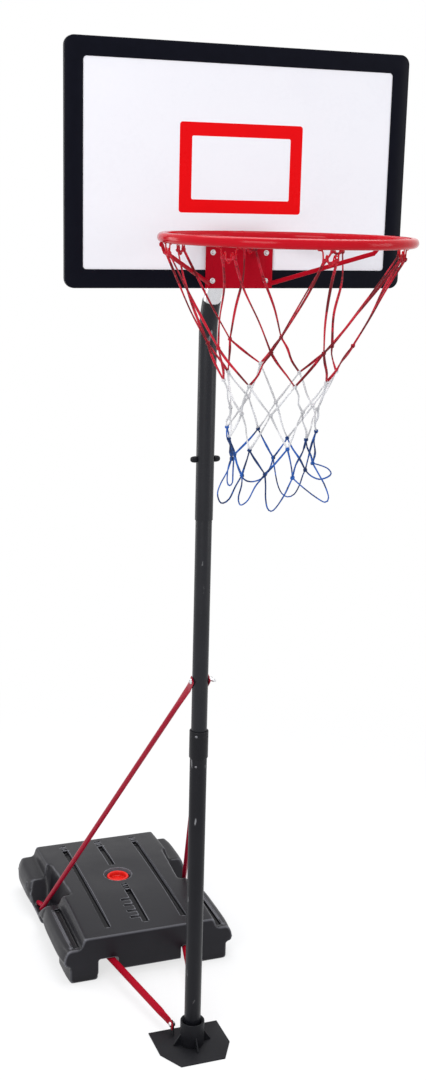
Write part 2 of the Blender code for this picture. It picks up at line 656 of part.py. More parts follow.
# Board frame: moulded border with ribs across the back
def build_board_frame():
    outline = rounded_rectangle(BOARD_WIDTH, BOARD_HEIGHT, BOARD_CORNER)
    frame = flat_outline([outline], BOARD_DEPTH, board_matrix(BOARD_FRONT_Y + BOARD_DEPTH / 2))
    window_x = BOARD_WIDTH / 2 - FRAME_BORDER
    window_z = (BOARD_BOTTOM + FRAME_BORDER, BOARD_BOTTOM + BOARD_HEIGHT - FRAME_BORDER)
    pocket = PANEL_TUCK + GAP
    panel_front = BOARD_FRONT_Y + FRAME_LIP - GAP
    panel_back = BOARD_FRONT_Y + FRAME_LIP + PANEL_THICKNESS + GAP
    cutters = [box((-window_x, BOARD_FRONT_Y - 0.01, window_z[0]),
                   (window_x, panel_front + 0.0005, window_z[1])),
               box((-window_x - pocket, panel_front, window_z[0] - pocket),
                   (window_x + pocket, panel_back, window_z[1] + pocket))]
    column = (-window_x, -RIB_X - RIB_WIDTH / 2, -RIB_X + RIB_WIDTH / 2,
              RIB_X - RIB_WIDTH / 2, RIB_X + RIB_WIDTH / 2, window_x)
    row = (window_z[0], CROSS_RIB_Z - CROSS_RIB_HEIGHT / 2, CROSS_RIB_Z + CROSS_RIB_HEIGHT / 2, window_z[1])
    for left, right in zip(column[::2], column[1::2]):
        for low, high in zip(row[::2], row[1::2]):
            cutters.append(box((left, panel_back - 0.0005, low), (right, BOARD_BACK_Y + 0.01, high)))
    for x in (-RIB_X, RIB_X):
        for z in RIM_BOLT_Z:
            cutters.append(bolt_hole((x, BOARD_BACK_Y, z), (0, 1, 0), RIM_BOLT_RADIUS, 0.02))
        cutters.append(cylinder((x, panel_back - 0.001, CROSS_RIB_Z), (x, BOARD_BACK_Y + 0.01, CROSS_RIB_Z),
                                BRACKET_SCREW_RADIUS + GAP, SMALL_STEPS))
    adopt(cut(frame, cutters), "board_frame", BLACK_PLASTIC)


# Panel: white sheet held in the frame
def build_board_panel():
    reach = 2 * (PANEL_TUCK - FRAME_BORDER)
    outline = rounded_rectangle(BOARD_WIDTH + reach, BOARD_HEIGHT + reach, 0.004, 2)
    centre_y = BOARD_FRONT_Y + FRAME_LIP + PANEL_THICKNESS / 2
    panel = flat_outline([outline], PANEL_THICKNESS, board_matrix(centre_y))
    holes = []
    for x in (-RIB_X, RIB_X):
        for z in RIM_BOLT_Z:
            holes.append(bolt_hole((x, centre_y, z), (0, 1, 0), RIM_BOLT_RADIUS))
    adopt(cut(panel, holes), "board_panel", PANEL_PLASTIC)


def channel_bracket(low_z, high_z, width, ear_reach, bolt_z, bolt_y, face_holes, hole_radius):
    """Steel plate on the board's back with two ears, one each side of the neck."""
    back_y = BRACKET_FRONT_Y + BRACKET_THICKNESS
    body = box((-width / 2, BRACKET_FRONT_Y, low_z), (width / 2, back_y, high_z))
    ears = []
    for side in (-1, 1):
        inner, outer = sorted((side * EAR_X, side * (EAR_X + BRACKET_THICKNESS)))
        ears.append(box((inner, BRACKET_FRONT_Y + BRACKET_THICKNESS / 2, low_z),
                        (outer, ear_reach, high_z)))
    body = unite(body, ears)
    holes = [bolt_hole((0, bolt_y, bolt_z), (1, 0, 0), BRACKET_BOLT_RADIUS, 0.04)]
    for x, z in face_holes:
        holes.append(bolt_hole((x, BRACKET_FRONT_Y, z), (0, 1, 0), hole_radius))
    return cut(body, holes)


# Lower bracket: clamped with the rim plate by the four rim bolts
def build_lower_bracket():
    bolt_z = bracket_bolt_z()
    bolt_y = neck_y_at(bolt_z)
    holes = [(x, z) for x in (-RIB_X, RIB_X) for z in RIM_BOLT_Z]
    bracket = channel_bracket(BOARD_BOTTOM + 0.002, SHELF_TOP - 0.009, RIM_PLATE_WIDTH, bolt_y + 0.016,
                              bolt_z, bolt_y, holes, RIM_BOLT_RADIUS)
    adopt(bracket, "lower_bracket", ZINC)


# Upper bracket: screwed to the frame's cross rib from behind
def build_upper_bracket():
    bolt_y = neck_y_at(CROSS_RIB_Z)
    half = UPPER_BRACKET_HEIGHT / 2
    holes = [(-RIB_X, CROSS_RIB_Z), (RIB_X, CROSS_RIB_Z)]
    bracket = channel_bracket(CROSS_RIB_Z - half, CROSS_RIB_Z + half, UPPER_BRACKET_WIDTH, bolt_y + 0.012,
                              CROSS_RIB_Z, bolt_y, holes, BRACKET_SCREW_RADIUS + GAP)
    adopt(bracket, "upper_bracket", ZINC)
    seat = BRACKET_FRONT_Y + BRACKET_THICKNESS + GAP
    tip = BOARD_FRONT_Y + FRAME_LIP + PANEL_THICKNESS + GAP * 3
    for side, name in ((-1, "bracket_screw_left"), (1, "bracket_screw_right")):
        screw = pan_bolt((side * RIB_X, seat, CROSS_RIB_Z), (side * RIB_X, tip, CROSS_RIB_Z),
                         BRACKET_SCREW_RADIUS, 0.0036, 0.0020)
        adopt(screw, name, ZINC)


# Cross bolts and nuts that hold the neck between the brackets' ears
def build_neck_bolts():
    ear = EAR_X + BRACKET_THICKNESS + GAP
    for height, place in ((bracket_bolt_z(), "lower"), (CROSS_RIB_Z, "upper")):
        y = neck_y_at(height)
        bolt = pan_bolt((-ear, y, height), (ear + 0.008, y, height), BRACKET_BOLT_RADIUS)
        adopt(bolt, "neck_bolt_" + place, ZINC)
        nut = hex_nut((ear, y, height), (1, 0, 0), BRACKET_BOLT_RADIUS + GAP)
        adopt(nut, "neck_nut_" + place, ZINC)


# Rim plate: crimson square with a shelf under the back of the ring
def build_rim_plate():
    half = RIM_PLATE_WIDTH / 2
    plate = box((-half, PLATE_FRONT_Y, BOARD_BOTTOM), (half, PLATE_BACK_Y, SHELF_TOP))
    shelf_half = half * 0.72
    shelf = box((-shelf_half, PLATE_FRONT_Y - RIM_SHELF_DEPTH, SHELF_TOP - RIM_PLATE_THICKNESS),
                (shelf_half, PLATE_BACK_Y - RIM_PLATE_THICKNESS / 2, SHELF_TOP))
    plate = unite(plate, [shelf])
    holes = []
    for x in (-RIB_X, RIB_X):
        for z in RIM_BOLT_Z:
            holes.append(bolt_hole((x, PLATE_BACK_Y, z), (0, 1, 0), RIM_BOLT_RADIUS))
    adopt(cut(plate, holes), "rim_plate", CRIMSON_PAINT)


# Four bolts through rim plate, board and lower bracket, with their nuts
def build_rim_bolts():
    nut_y = BRACKET_FRONT_Y + BRACKET_THICKNESS + GAP
    number = 0
    for z in RIM_BOLT_Z:
        for x in (-RIB_X, RIB_X):
            number += 1
            bolt = pan_bolt((x, PLATE_FRONT_Y - GAP, z), (x, nut_y + 0.008, z),
                            RIM_BOLT_RADIUS, 0.0068, 0.0036)
            adopt(bolt, f"rim_bolt_{number}", ZINC)
            adopt(hex_nut((x, nut_y, z), (0, 1, 0), RIM_BOLT_RADIUS + GAP), f"rim_nut_{number}", ZINC)


def ring_point(angle, radius=RING_RADIUS, height=RING_HEIGHT):
    """Point round the ring; zero is to the right and a quarter turn is at the back."""
    return (radius * math.cos(angle), RING_CENTRE_Y + radius * math.sin(angle), height)


# Ring: bent tube whose ends meet at the back, over the shelf
def build_rim_ring():
    steps = 48
    half_seam = RING_SEAM / 2 / RING_RADIUS
    line = []
    for step in range(steps + 1):
        angle = math.pi / 2 + half_seam + (2 * math.pi - 2 * half_seam) * step / steps
        line.append(ring_point(angle))
    outer = rod(line, RING_TUBE_RADIUS, 4)
    bore = rod(overrun(line, RING_SEAM * 0.1), RING_TUBE_RADIUS - RING_TUBE_WALL, 1)
    adopt(cut(outer, [bore]), "rim_ring", RING_PAINT)


# Two bars from the plate's lower corners up to the sides of the ring
def build_ring_braces():
    under = RING_HEIGHT - RING_TUBE_RADIUS - RING_BRACE_RADIUS - GAP
    start = Vector((RIM_PLATE_WIDTH / 2 - 0.006, PLATE_FRONT_Y - GAP * 2 - 0.0045, BOARD_BOTTOM + 0.010))
    end = Vector(ring_point(RING_BRACE_ANGLE, height=under))
    run = end - start
    knee = start + run * 0.90 - Vector((0, 0, RING_BRACE_KNEE))
    for side, name in ((-1, "ring_brace_left"), (1, "ring_brace_right")):
        line = [start, start + (knee - start) * 0.5, knee, knee + (end - knee) * 0.45, end,
                end + Vector((run.x, run.y, 0)).normalized() * 0.006]
        line = [(side * point.x, point.y, point.z) for point in line]
        adopt(rod(line, RING_BRACE_RADIUS, 4), name, CRIMSON_PAINT)


def hook_angle(index):
    return HOOK_TURN + 2 * math.pi * (index + 1) / HOOK_COUNT


# Eight wire curls under the ring that hold the net
def build_net_hooks():
    for index in range(HOOK_COUNT):
        angle = hook_angle(index)
        outward = Vector((math.cos(angle), math.sin(angle), 0))
        weld = Vector(ring_point(angle, HOOK_RING_RADIUS, HOOK_WELD_Z))
        centre = weld - Vector((0, 0, HOOK_DROP + HOOK_CURL))
        line = [weld, weld - Vector((0, 0, HOOK_DROP / 2))]
        for step in range(6):
            turn = math.radians(90 - 60 * step)
            rise = Vector((0, 0, HOOK_CURL * math.sin(turn)))
            line.append(centre + outward * HOOK_CURL * math.cos(turn) + rise)
        adopt(rod(line, HOOK_WIRE, 1), f"net_hook_{index + 1}", CRIMSON_PAINT)


def net_place(angle, radius, height):
    return (radius * math.cos(angle), RING_CENTRE_Y + radius * math.sin(angle), height)


def drawn_in(first, second, tuck):
    """Point halfway along a strand, drawn in towards the net's axis."""
    x, y, z = ((a + b) / 2 for a, b in zip(first, second))
    out = Vector((x, y - RING_CENTRE_Y))
    out -= out.normalized() * tuck
    return (out.x, out.y + RING_CENTRE_Y, z)


def net_zigzag(upper, lower, first_angle, arch=None, tuck=None):
    """One closed row of meshes between two levels, each a (height, radius).

    Each peak is a small arch over what it hangs on, and each valley is where the next row hangs.
    """
    (top, top_radius), (low, low_radius) = upper, lower
    reach = arch or NET_BOW
    line = []
    pitch = 2 * math.pi / HOOK_COUNT
    for index in range(HOOK_COUNT):
        peak = first_angle + pitch * index
        for step in range(-2, 3) if arch else range(-1, 2):
            turn = math.radians(36 * step)
            line.append(net_place(peak + reach * math.sin(turn) / top_radius, top_radius,
                                  top - reach * (1 - math.cos(turn))))
        valley = net_place(peak + pitch / 2, low_radius, low)
        if tuck:
            line.append(drawn_in(line[-1], valley, tuck))
        line.append(valley)
        if tuck:
            line.append(drawn_in(valley, net_place(peak + pitch, top_radius, top), tuck))
    return rod(line, NET_CORD_RADIUS, 1, closed=True)


# Net: each colour is two rows of meshes that share their crossings
def build_net():
    pitch = 2 * math.pi / HOOK_COUNT
    start = hook_angle(0)
    hung = (HOOK_WELD_Z - HOOK_DROP - 2 * HOOK_CURL + NET_ARCH, HOOK_RING_RADIUS)
    levels = [hung] + [(RING_HEIGHT - drop, radius) for drop, radius in NET_LEVELS]
    step_down = 2 * NET_CORD_RADIUS + GAP
    rows = []
    for index, (upper, lower) in enumerate(zip(levels, levels[1:])):
        drop = step_down * (index // 2)
        upper = (upper[0] - drop, upper[1])
        lower = (lower[0] - drop, lower[1])
        arch, tuck = (NET_ARCH, NET_TUCK) if index == 0 else (None, None)
        rows.append(net_zigzag(upper, lower, start + pitch / 2 * index, arch, tuck))
    adopt(unite(rows[0], [rows[1]]), "net_red", CORD_RED)
    adopt(unite(rows[2], [rows[3]]), "net_white", CORD_WHITE)

    last_height, last_radius = levels[5]
    last_height -= step_down * 2
    bottom = RING_HEIGHT - NET_LOOP_DROP
    loops = []
    for index in range(HOOK_COUNT):
        peak = start + pitch / 2 * 5 + pitch * index
        for step in range(8):
            turn = math.pi * step / 8
            swing = pitch * step / 8 - pitch * 0.05 * math.sin(4 * turn)
            hang = math.sin(turn) ** 0.7
            radius = last_radius + NET_LOOP_SPLAY * hang
            line_height = last_height + (bottom - last_height) * hang
            loops.append(net_place(peak + swing, radius, line_height))
    adopt(unite(rows[4], [rod(loops, NET_CORD_RADIUS, 1, closed=True)]), "net_blue", CORD_BLUE)


def blend(first, second, share):
    return tuple(a + (b - a) * share for a, b in zip(first, second))


# Tank braces: slim tubes from the brace bolt to sockets in the tank's rear blocks
def build_tank_braces():
    tab_x = INNER_POLE_RADIUS + GAP + BRACE_FLAT
    top = (tab_x, 0.0, BRACE_BOLT_Z)
    foot = BRACE_FOOT
    toe = BRACE_TOE
    tab_end = (tab_x, 0.020, BRACE_BOLT_Z - 0.024)
    tip = (tab_x, -0.008, BRACE_BOLT_Z + 0.010)
    flat = (0.0085, BRACE_FLAT)
    round_section = (BRACE_TUBE_RADIUS, BRACE_TUBE_RADIUS)
    line = [tip, top, tab_end, blend(tab_end, foot, 0.045), blend(tab_end, foot, 0.5),
            blend(tab_end, foot, 0.985), blend(foot, toe, 0.02), blend(foot, toe, 0.12),
            blend(foot, toe, 0.5), toe]
    stations = [flat, flat, flat] + [round_section] * 7
    for side, name in ((-1, "tank_brace_left"), (1, "tank_brace_right")):
        path = [(side * x, y, z) for x, y, z in line]
        sides = [(0.0, 0.75, 0.66)] * len(path)
        tube = flattened_tube(path, sides, stations, BRACE_WALL)
        hole = bolt_hole((side * tab_x, 0, BRACE_BOLT_Z), (1, 0, 0))
        adopt(cut(tube, [hole]), name, CRIMSON_PAINT)


# Brace bolt through the mid pole, with its wing nut
def build_brace_bolt():
    face = INNER_POLE_RADIUS + GAP * 2 + BRACE_FLAT * 2
    bolt = pan_bolt((-face, 0, BRACE_BOLT_Z), (face + 0.013, 0, BRACE_BOLT_Z), BOLT_RADIUS)
    adopt(bolt, "brace_bolt", ZINC)
    hub = turned([(0.0044, 0.0090), (0.0062, 0.0), (BOLT_RADIUS + GAP, 0.0), (BOLT_RADIUS + GAP, 0.0090)],
                 SMALL_STEPS, (face, 0, BRACE_BOLT_Z), (1, 0, 0), closed=True)
    wing = [(0.0040, 0.0004), (0.0058, 0.0004), (0.0150, 0.0048), (0.0150, 0.0110), (0.0108, 0.0130),
            (0.0058, 0.0080), (0.0040, 0.0080)]
    stand = Matrix.Translation((face, 0, BRACE_BOLT_Z)) @ FLAT_TO_YX
    wings = []
    for hand in (-1, 1):
        wings.append(flat_outline([[(hand * y, x) for y, x in wing]], 0.0024, stand))
    adopt(unite(hub, wings), "brace_wing_nut", ZINC)


# Lower bars: from the lugs back to the underside of the tank
def build_lower_bars():
    tab_x = LUG_X + LUG_THICKNESS / 2 + GAP + BRACE_FLAT
    tip = (tab_x, LUG_BOLT_Y - 0.010, LUG_BOLT_Z - 0.0035)
    hole = (tab_x, LUG_BOLT_Y, LUG_BOLT_Z)
    tab_end = (tab_x, LUG_BOLT_Y + 0.0090, LUG_BOLT_Z + 0.0010)
    shoulder = (tab_x + 0.0040, LUG_BOLT_Y + 0.0230, LUG_BOLT_Z + 0.0030)
    ceiling = RECESS_TOP - GAP - BRACE_FLAT
    tail = (TANK_BOLT_X, TANK_BOLT_Y - 0.016, ceiling)
    end = (TANK_BOLT_X + 0.002, TANK_BOLT_Y + 0.012, ceiling)
    front = blend(shoulder, tail, 0.10)
    back = blend(shoulder, tail, 0.90)
    back = (back[0], back[1], ceiling - BAR_TUBE_RADIUS * 0.92)
    line = [tip, hole, tab_end, shoulder, front, blend(front, back, 0.5), back, tail,
            (TANK_BOLT_X, TANK_BOLT_Y, ceiling), end]
    flat = (0.0120, BRACE_FLAT)
    round_section = (BAR_TUBE_RADIUS, BAR_TUBE_RADIUS)
    end_flat = (0.0105, BRACE_FLAT)
    stations = [end_flat, flat, flat, (0.0115, 0.0040), round_section, round_section, round_section,
                flat, flat, end_flat]
    for side, name in ((-1, "lower_bar_left"), (1, "lower_bar_right")):
        path = [(side * x, y, z) for x, y, z in line]
        upright, level = (0, 0, 1), (1, 0, 0)
        slant = (side * 0.7, 0, 0.7) if side > 0 else (0.7, 0, 0.7)
        sides = [upright, upright, upright, upright, upright, slant, level, level, level, level]
        tube = flattened_tube(path, sides, stations, BAR_WALL)
        holes = [bolt_hole((side * tab_x, LUG_BOLT_Y, LUG_BOLT_Z), (1, 0, 0)),
                 bolt_hole((side * TANK_BOLT_X, TANK_BOLT_Y, ceiling), (0, 0, 1))]
        adopt(cut(tube, holes), name, CRIMSON_PAINT)


# Bolts and nuts at both ends of the lower bars
def build_bar_bolts():
    outside = LUG_X + LUG_THICKNESS / 2 + GAP * 2 + BRACE_FLAT * 2
    inside = LUG_X - LUG_THICKNESS / 2 - GAP
    below = RECESS_TOP - GAP * 2 - BRACE_FLAT * 2
    for side, hand in ((-1, "left"), (1, "right")):
        seat = (side * outside, LUG_BOLT_Y, LUG_BOLT_Z)
        tip = (side * (inside - 0.0050), LUG_BOLT_Y, LUG_BOLT_Z)
        adopt(pan_bolt(seat, tip, BOLT_RADIUS, 0.0066, 0.0040), "foot_bar_bolt_" + hand, ZINC)
        face = (side * inside, LUG_BOLT_Y, LUG_BOLT_Z)
        nut = hex_nut(face, (-side, 0, 0), BOLT_RADIUS + GAP, 0.0095, 0.0038)
        adopt(nut, "foot_bar_nut_" + hand, ZINC)
        screw = pan_bolt((side * TANK_BOLT_X, TANK_BOLT_Y, below),
                         (side * TANK_BOLT_X, TANK_BOLT_Y, RECESS_TOP + 0.011), BOLT_RADIUS, 0.0066, 0.0036)
        adopt(screw, "tank_bar_screw_" + hand, ZINC)


def soft_box(low, high, edge, segments=1):
    """Box with rounded edges, for the moulded tank."""
    body = box(low, high)
    bevel_edges(body, edge, segments)
    return bake(body)


def groove(x, y_range, depth, width, ribs):
    """Groove cutter in the deck, stepped at the rear end."""
    low, high = y_range
    left, right, above = x - width / 2, x + width / 2, TANK_TOP + 0.01
    cutters = [box((left, low, TANK_TOP - depth), (right, high - ribs * RIB_PITCH, above))]
    for step in range(ribs):
        near = high - (ribs - step) * RIB_PITCH + RIB_LENGTH
        far = near + RIB_PITCH - RIB_LENGTH
        cutters.append(box((left, near, TANK_TOP - depth * 0.75), (right, far, above)))
    return cutters


def tank_grooves(grow=0.0):
    """All the deck's grooves; grow widens and deepens them for the cavity's wall."""
    ribs = 0 if grow else GROOVE_RIBS
    cutters = []
    runs = [(-GROOVE_X, GROOVE_Y), (GROOVE_X, GROOVE_Y),
            (0.0, SHORT_GROOVE_FRONT_Y), (0.0, SHORT_GROOVE_BACK_Y)]
    for x, (low, high) in runs:
        cutters += groove(x, (low - grow, high + grow), GROOVE_DEPTH + grow, GROOVE_WIDTH + 2 * grow, ribs)
    return cutters


# Water tank: blow-moulded shell with shoulders, waist, feet and a filler mouth
def build_water_tank():
    front, back = TANK_FRONT_Y, TANK_BACK_Y
    waist_front, waist_back = TANK_WAIST_Y
    half, deck, waist = TANK_HALF_WIDTH, TANK_DECK_HALF_WIDTH, TANK_WAIST_HALF_WIDTH
    body = soft_box((-deck, front, TANK_FLOOR), (deck, back, TANK_TOP), TANK_EDGE, 2)
    middle = soft_box((-waist, front + 0.0006, TANK_FLOOR + 0.0005),
                      (waist, back - 0.0006, TANK_SHOULDER_TOP), TANK_EDGE)
    shoulder = TANK_SHOULDER_TOP - 0.0004
    blocks = [middle,
              soft_box((-half, front + 0.0003, TANK_FLOOR), (half, waist_front, shoulder), TANK_EDGE),
              soft_box((-half, waist_back, TANK_FLOOR), (half, back - 0.0003, shoulder), TANK_EDGE)]
    foot_x = half - TANK_FOOT_INSET
    for side in (-1, 1):
        inner, outer = sorted((side * (foot_x - TANK_FOOT_WIDTH), side * foot_x))
        for low, high in ((front + TANK_FOOT_STEP, front + TANK_FOOT_LENGTH),
                          (back - TANK_FOOT_LENGTH, back - TANK_FOOT_STEP)):
            blocks.append(soft_box((inner, low, 0.0), (outer, high, TANK_FLOOR + 0.012), 0.004))
    body = unite(body, blocks)
    cutters = tank_grooves()
    for side in (-1, 1):
        inner, outer = sorted((side * RECESS_X[0], side * RECESS_X[1]))
        cutters.append(box((inner, front - 0.01, -0.01), (outer, RECESS_BACK_Y, RECESS_TOP)))
        mouth_x, mouth_y, mouth_z = blend(BRACE_FOOT, BRACE_TOE, 0.80)
        end_x, end_y, end_z = blend(BRACE_FOOT, BRACE_TOE, 1.01)
        cutters.append(cylinder((side * mouth_x, mouth_y, mouth_z), (side * end_x, end_y, end_z),
                                BRACE_TUBE_RADIUS + 2 * GAP, 16))
        cutters.append(cylinder((side * TANK_BOLT_X, TANK_BOLT_Y, RECESS_TOP - 0.005),
                                (side * TANK_BOLT_X, TANK_BOLT_Y, RECESS_TOP + SCREW_BOSS - TANK_WALL),
                                BOLT_RADIUS + GAP, SMALL_STEPS))
    cutters.append(cylinder((0, CAP_Y, TANK_TOP - CAP_WELL_DEPTH), (0, CAP_Y, TANK_TOP + 0.01),
                            CAP_WELL_RADIUS, 28))
    body = cut(body, cutters)

    wall = TANK_WALL
    cavity = box((-deck + wall, front + wall, TANK_FLOOR + wall), (deck - wall, back - wall, TANK_TOP - wall))
    rooms = []
    for low, high in ((front + wall, waist_front - wall), (waist_back + wall, back - wall)):
        rooms.append(box((-half + wall, low, TANK_FLOOR + wall),
                         (half - wall, high, TANK_SHOULDER_TOP - wall)))
    cavity = unite(cavity, rooms)
    keep = tank_grooves(wall)
    for side in (-1, 1):
        inner, outer = sorted((side * (RECESS_X[0] - wall), side * (RECESS_X[1] + wall)))
        keep.append(box((inner, front - 0.01, -0.01), (outer, RECESS_BACK_Y + wall, RECESS_TOP + wall)))
        keep.append(cylinder((side * TANK_BOLT_X, TANK_BOLT_Y, RECESS_TOP),
                             (side * TANK_BOLT_X, TANK_BOLT_Y, RECESS_TOP + SCREW_BOSS),
                             BOLT_RADIUS + 0.005, 16))
        inner, outer = sorted((side * (BRACE_FOOT[0] - 3 * wall), side * (half + 0.01)))
        top = BRACE_FOOT[2] - 2.5 * wall
        keep.append(box((inner, waist_back - 0.01, 0.0), (outer, BRACE_TOE[1] + 0.007, top)))
    keep.append(cylinder((0, CAP_Y, TANK_TOP - CAP_WELL_DEPTH - wall), (0, CAP_Y, TANK_TOP + 0.01),
                         CAP_WELL_RADIUS + wall, 20))
    cavity = cut(cavity, keep)
    mouth = cylinder((0, CAP_Y, TANK_TOP - 0.04), (0, CAP_Y, TANK_TOP + 0.01), FILLER_RADIUS, 28)
    adopt(cut(body, [cavity, mouth]), "water_tank", TANK_PLASTIC)


# Filler cap: dished screw plug in the tank's mouth
def build_filler_cap():
    seat = TANK_TOP - CAP_WELL_DEPTH + GAP
    rim = TANK_TOP + 0.0035
    plug = FILLER_RADIUS - 0.0006
    profile = [(0.0, rim - 0.0048), (CAP_RADIUS * 0.60, rim - 0.0042), (CAP_RADIUS * 0.76, rim - 0.0010),
               (CAP_RADIUS * 0.84, rim), (CAP_RADIUS * 0.93, rim - 0.0006), (CAP_RADIUS, rim - 0.0030),
               (CAP_RADIUS, seat), (plug, seat), (plug, seat - 0.0120), (plug - 0.0022, seat - 0.0120),
               (plug - 0.0022, seat - 0.0005), (0.0, seat - 0.0005)]
    cap = turned(profile, 24, (0, CAP_Y, 0))
    adopt(cap, "filler_cap", CAP_PLASTIC)


build_foot_plate()
build_foot_collar()
build_lower_pole()
build_mid_pole()
build_coupling()
build_snap_button()
build_upper_pole()
build_height_knobs()
build_pole_neck()
build_neck_cap()
build_board_frame()
build_board_panel()
build_lower_bracket()
build_upper_bracket()
build_neck_bolts()
build_rim_plate()
build_rim_bolts()
build_rim_ring()
build_ring_braces()
build_net_hooks()
build_net()
build_tank_braces()
build_brace_bolt()
build_lower_bars()
build_bar_bolts()
build_water_tank()
build_filler_cap()
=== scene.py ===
"""Free-standing basketball stand with a water tank, dressed for its photograph. Metres, +Z up."""
import math
import random

import bmesh
import bpy
from mathutils import Matrix, Vector


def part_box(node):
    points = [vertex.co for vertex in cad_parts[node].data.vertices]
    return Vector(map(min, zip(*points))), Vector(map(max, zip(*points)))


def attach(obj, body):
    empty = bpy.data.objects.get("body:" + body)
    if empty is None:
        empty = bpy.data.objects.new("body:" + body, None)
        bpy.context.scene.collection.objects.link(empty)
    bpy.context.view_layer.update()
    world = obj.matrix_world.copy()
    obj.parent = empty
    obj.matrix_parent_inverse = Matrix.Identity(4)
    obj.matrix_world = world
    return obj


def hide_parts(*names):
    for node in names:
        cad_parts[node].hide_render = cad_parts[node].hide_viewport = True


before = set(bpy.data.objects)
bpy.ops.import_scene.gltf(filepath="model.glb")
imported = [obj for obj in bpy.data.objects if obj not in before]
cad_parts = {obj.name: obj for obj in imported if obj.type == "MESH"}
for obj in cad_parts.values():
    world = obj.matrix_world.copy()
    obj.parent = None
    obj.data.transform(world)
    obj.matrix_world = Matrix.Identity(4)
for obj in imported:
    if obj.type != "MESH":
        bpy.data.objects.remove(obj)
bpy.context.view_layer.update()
scene = bpy.context.scene
scene.view_settings.view_transform = "Standard"


# Camera: a plain lens ahead of the stand and to its left, a little under the board's top edge,
# tipped down so that the foot plate is just in the frame.
def new_object(name, data):
    """New object in the scene."""
    thing = bpy.data.objects.new(name, data)
    scene.collection.objects.link(thing)
    return thing


eye = Vector((-1.0169, -2.8026, 1.9905))
heading, dip, roll = 0.3552, 0.2421, -0.0245
forward = Vector((math.sin(heading) * math.cos(dip), math.cos(heading) * math.cos(dip), -math.sin(dip)))
level = Vector((math.cos(heading), -math.sin(heading), 0))
below = forward.cross(level)
right = level * math.cos(roll) + below * math.sin(roll)
down = below * math.cos(roll) - level * math.sin(roll)
camera_data = bpy.data.cameras.new("Camera")
camera_data.sensor_fit = "VERTICAL"
camera_data.sensor_height = 36.0
camera_data.lens = 1394.58 / 1080 * camera_data.sensor_height
camera_data.clip_end = 60.0
camera = new_object("Camera", camera_data)
camera.matrix_world = Matrix.Translation(eye) @ Matrix((right, -down, -forward)).transposed().to_4x4()
scene.camera = camera


# Studio: a plain pale floor that runs into a white surround, and large soft lamps. The floor and
# the world are white only to the camera and in reflections, and the floor keeps the shadow.
def feed(tree, node, values):
    """Gives values to a node's inputs; a value that is a socket is linked."""
    for key, value in values.items():
        if isinstance(value, bpy.types.NodeSocket):
            tree.links.new(value, node.inputs[key])
        else:
            node.inputs[key].default_value = value


def add(tree, kind, values=None, **settings):
    """New node with its settings, and values for its inputs."""
    node = tree.nodes.new(kind)
    for key, value in settings.items():
        setattr(node, key, value)
    feed(tree, node, values or {})
    return node


def made(tree, kind, values=None, **settings):
    """First output of a new node."""
    return add(tree, kind, values, **settings).outputs[0]


def calc(tree, operation, *values):
    """Result of a Math node."""
    return made(tree, "ShaderNodeMath", dict(enumerate(values)), operation=operation)


def ranged(tree, value, low, high, to_low=0.0, to_high=1.0, **settings):
    """Value carried from one range to another, and held inside it."""
    return made(tree, "ShaderNodeMapRange", {"Value": value, "From Min": low, "From Max": high,
                                             "To Min": to_low, "To Max": to_high}, **settings)


def own_place(tree):
    """Place in the object's own coordinates."""
    return add(tree, "ShaderNodeTexCoord").outputs["Object"]


def length(tree, vector):
    """Length of a vector."""
    return add(tree, "ShaderNodeVectorMath", {0: vector}, operation="LENGTH").outputs["Value"]


def seen_ray(tree):
    """1 for rays from the camera, off metal and through glass, 0 for light that bounces."""
    path = add(tree, "ShaderNodeLightPath").outputs
    either = calc(tree, "MAXIMUM", path["Is Camera Ray"], path["Is Glossy Ray"])
    return calc(tree, "MAXIMUM", either, path["Is Transmission Ray"])


def new_material(name):
    """New material with its node tree and its shader."""
    material = bpy.data.materials.new(name)
    material.use_nodes = True
    return material, material.node_tree, material.node_tree.nodes["Principled BSDF"]


floor_mesh = bmesh.new()
bmesh.ops.create_circle(floor_mesh, cap_ends=True, radius=16.0, segments=96)
floor_data = bpy.data.meshes.new("floor")
floor_mesh.to_mesh(floor_data)
floor_mesh.free()
floor_paint, tree = new_material("Pale floor")[:2]
tree.nodes.clear()
bounce = made(tree, "ShaderNodeBsdfDiffuse", {"Color": (0.72, 0.72, 0.73, 1)})
shaded = made(tree, "ShaderNodeBsdfDiffuse", {"Color": (0.26, 0.26, 0.265, 1)})
lift = made(tree, "ShaderNodeEmission", {"Color": (0.7, 0.7, 0.7, 1)})
white = made(tree, "ShaderNodeEmission", {"Color": (1, 1, 1, 1)})
near = made(tree, "ShaderNodeAddShader", {0: shaded, 1: lift})
away = ranged(tree, length(tree, own_place(tree)), 0.9, 2.6, interpolation_type="SMOOTHSTEP")
visible = made(tree, "ShaderNodeMixShader", {0: away, 1: near, 2: white})
whole = made(tree, "ShaderNodeMixShader", {0: seen_ray(tree), 1: bounce, 2: visible})
add(tree, "ShaderNodeOutputMaterial", {"Surface": whole})
floor_data.materials.append(floor_paint)
floor = new_object("floor", floor_data)

world = bpy.data.worlds.new("Studio")
world.use_nodes = True
tree = world.node_tree
tree.nodes.clear()
ambient = made(tree, "ShaderNodeBackground", {"Color": (0.93, 0.96, 1.0, 1), "Strength": 0.52})
surround = made(tree, "ShaderNodeBackground", {"Color": (1, 1, 1, 1), "Strength": 1.0})
sky = made(tree, "ShaderNodeMixShader", {0: seen_ray(tree), 1: ambient, 2: surround})
add(tree, "ShaderNodeOutputWorld", {"Surface": sky})
scene.world = world

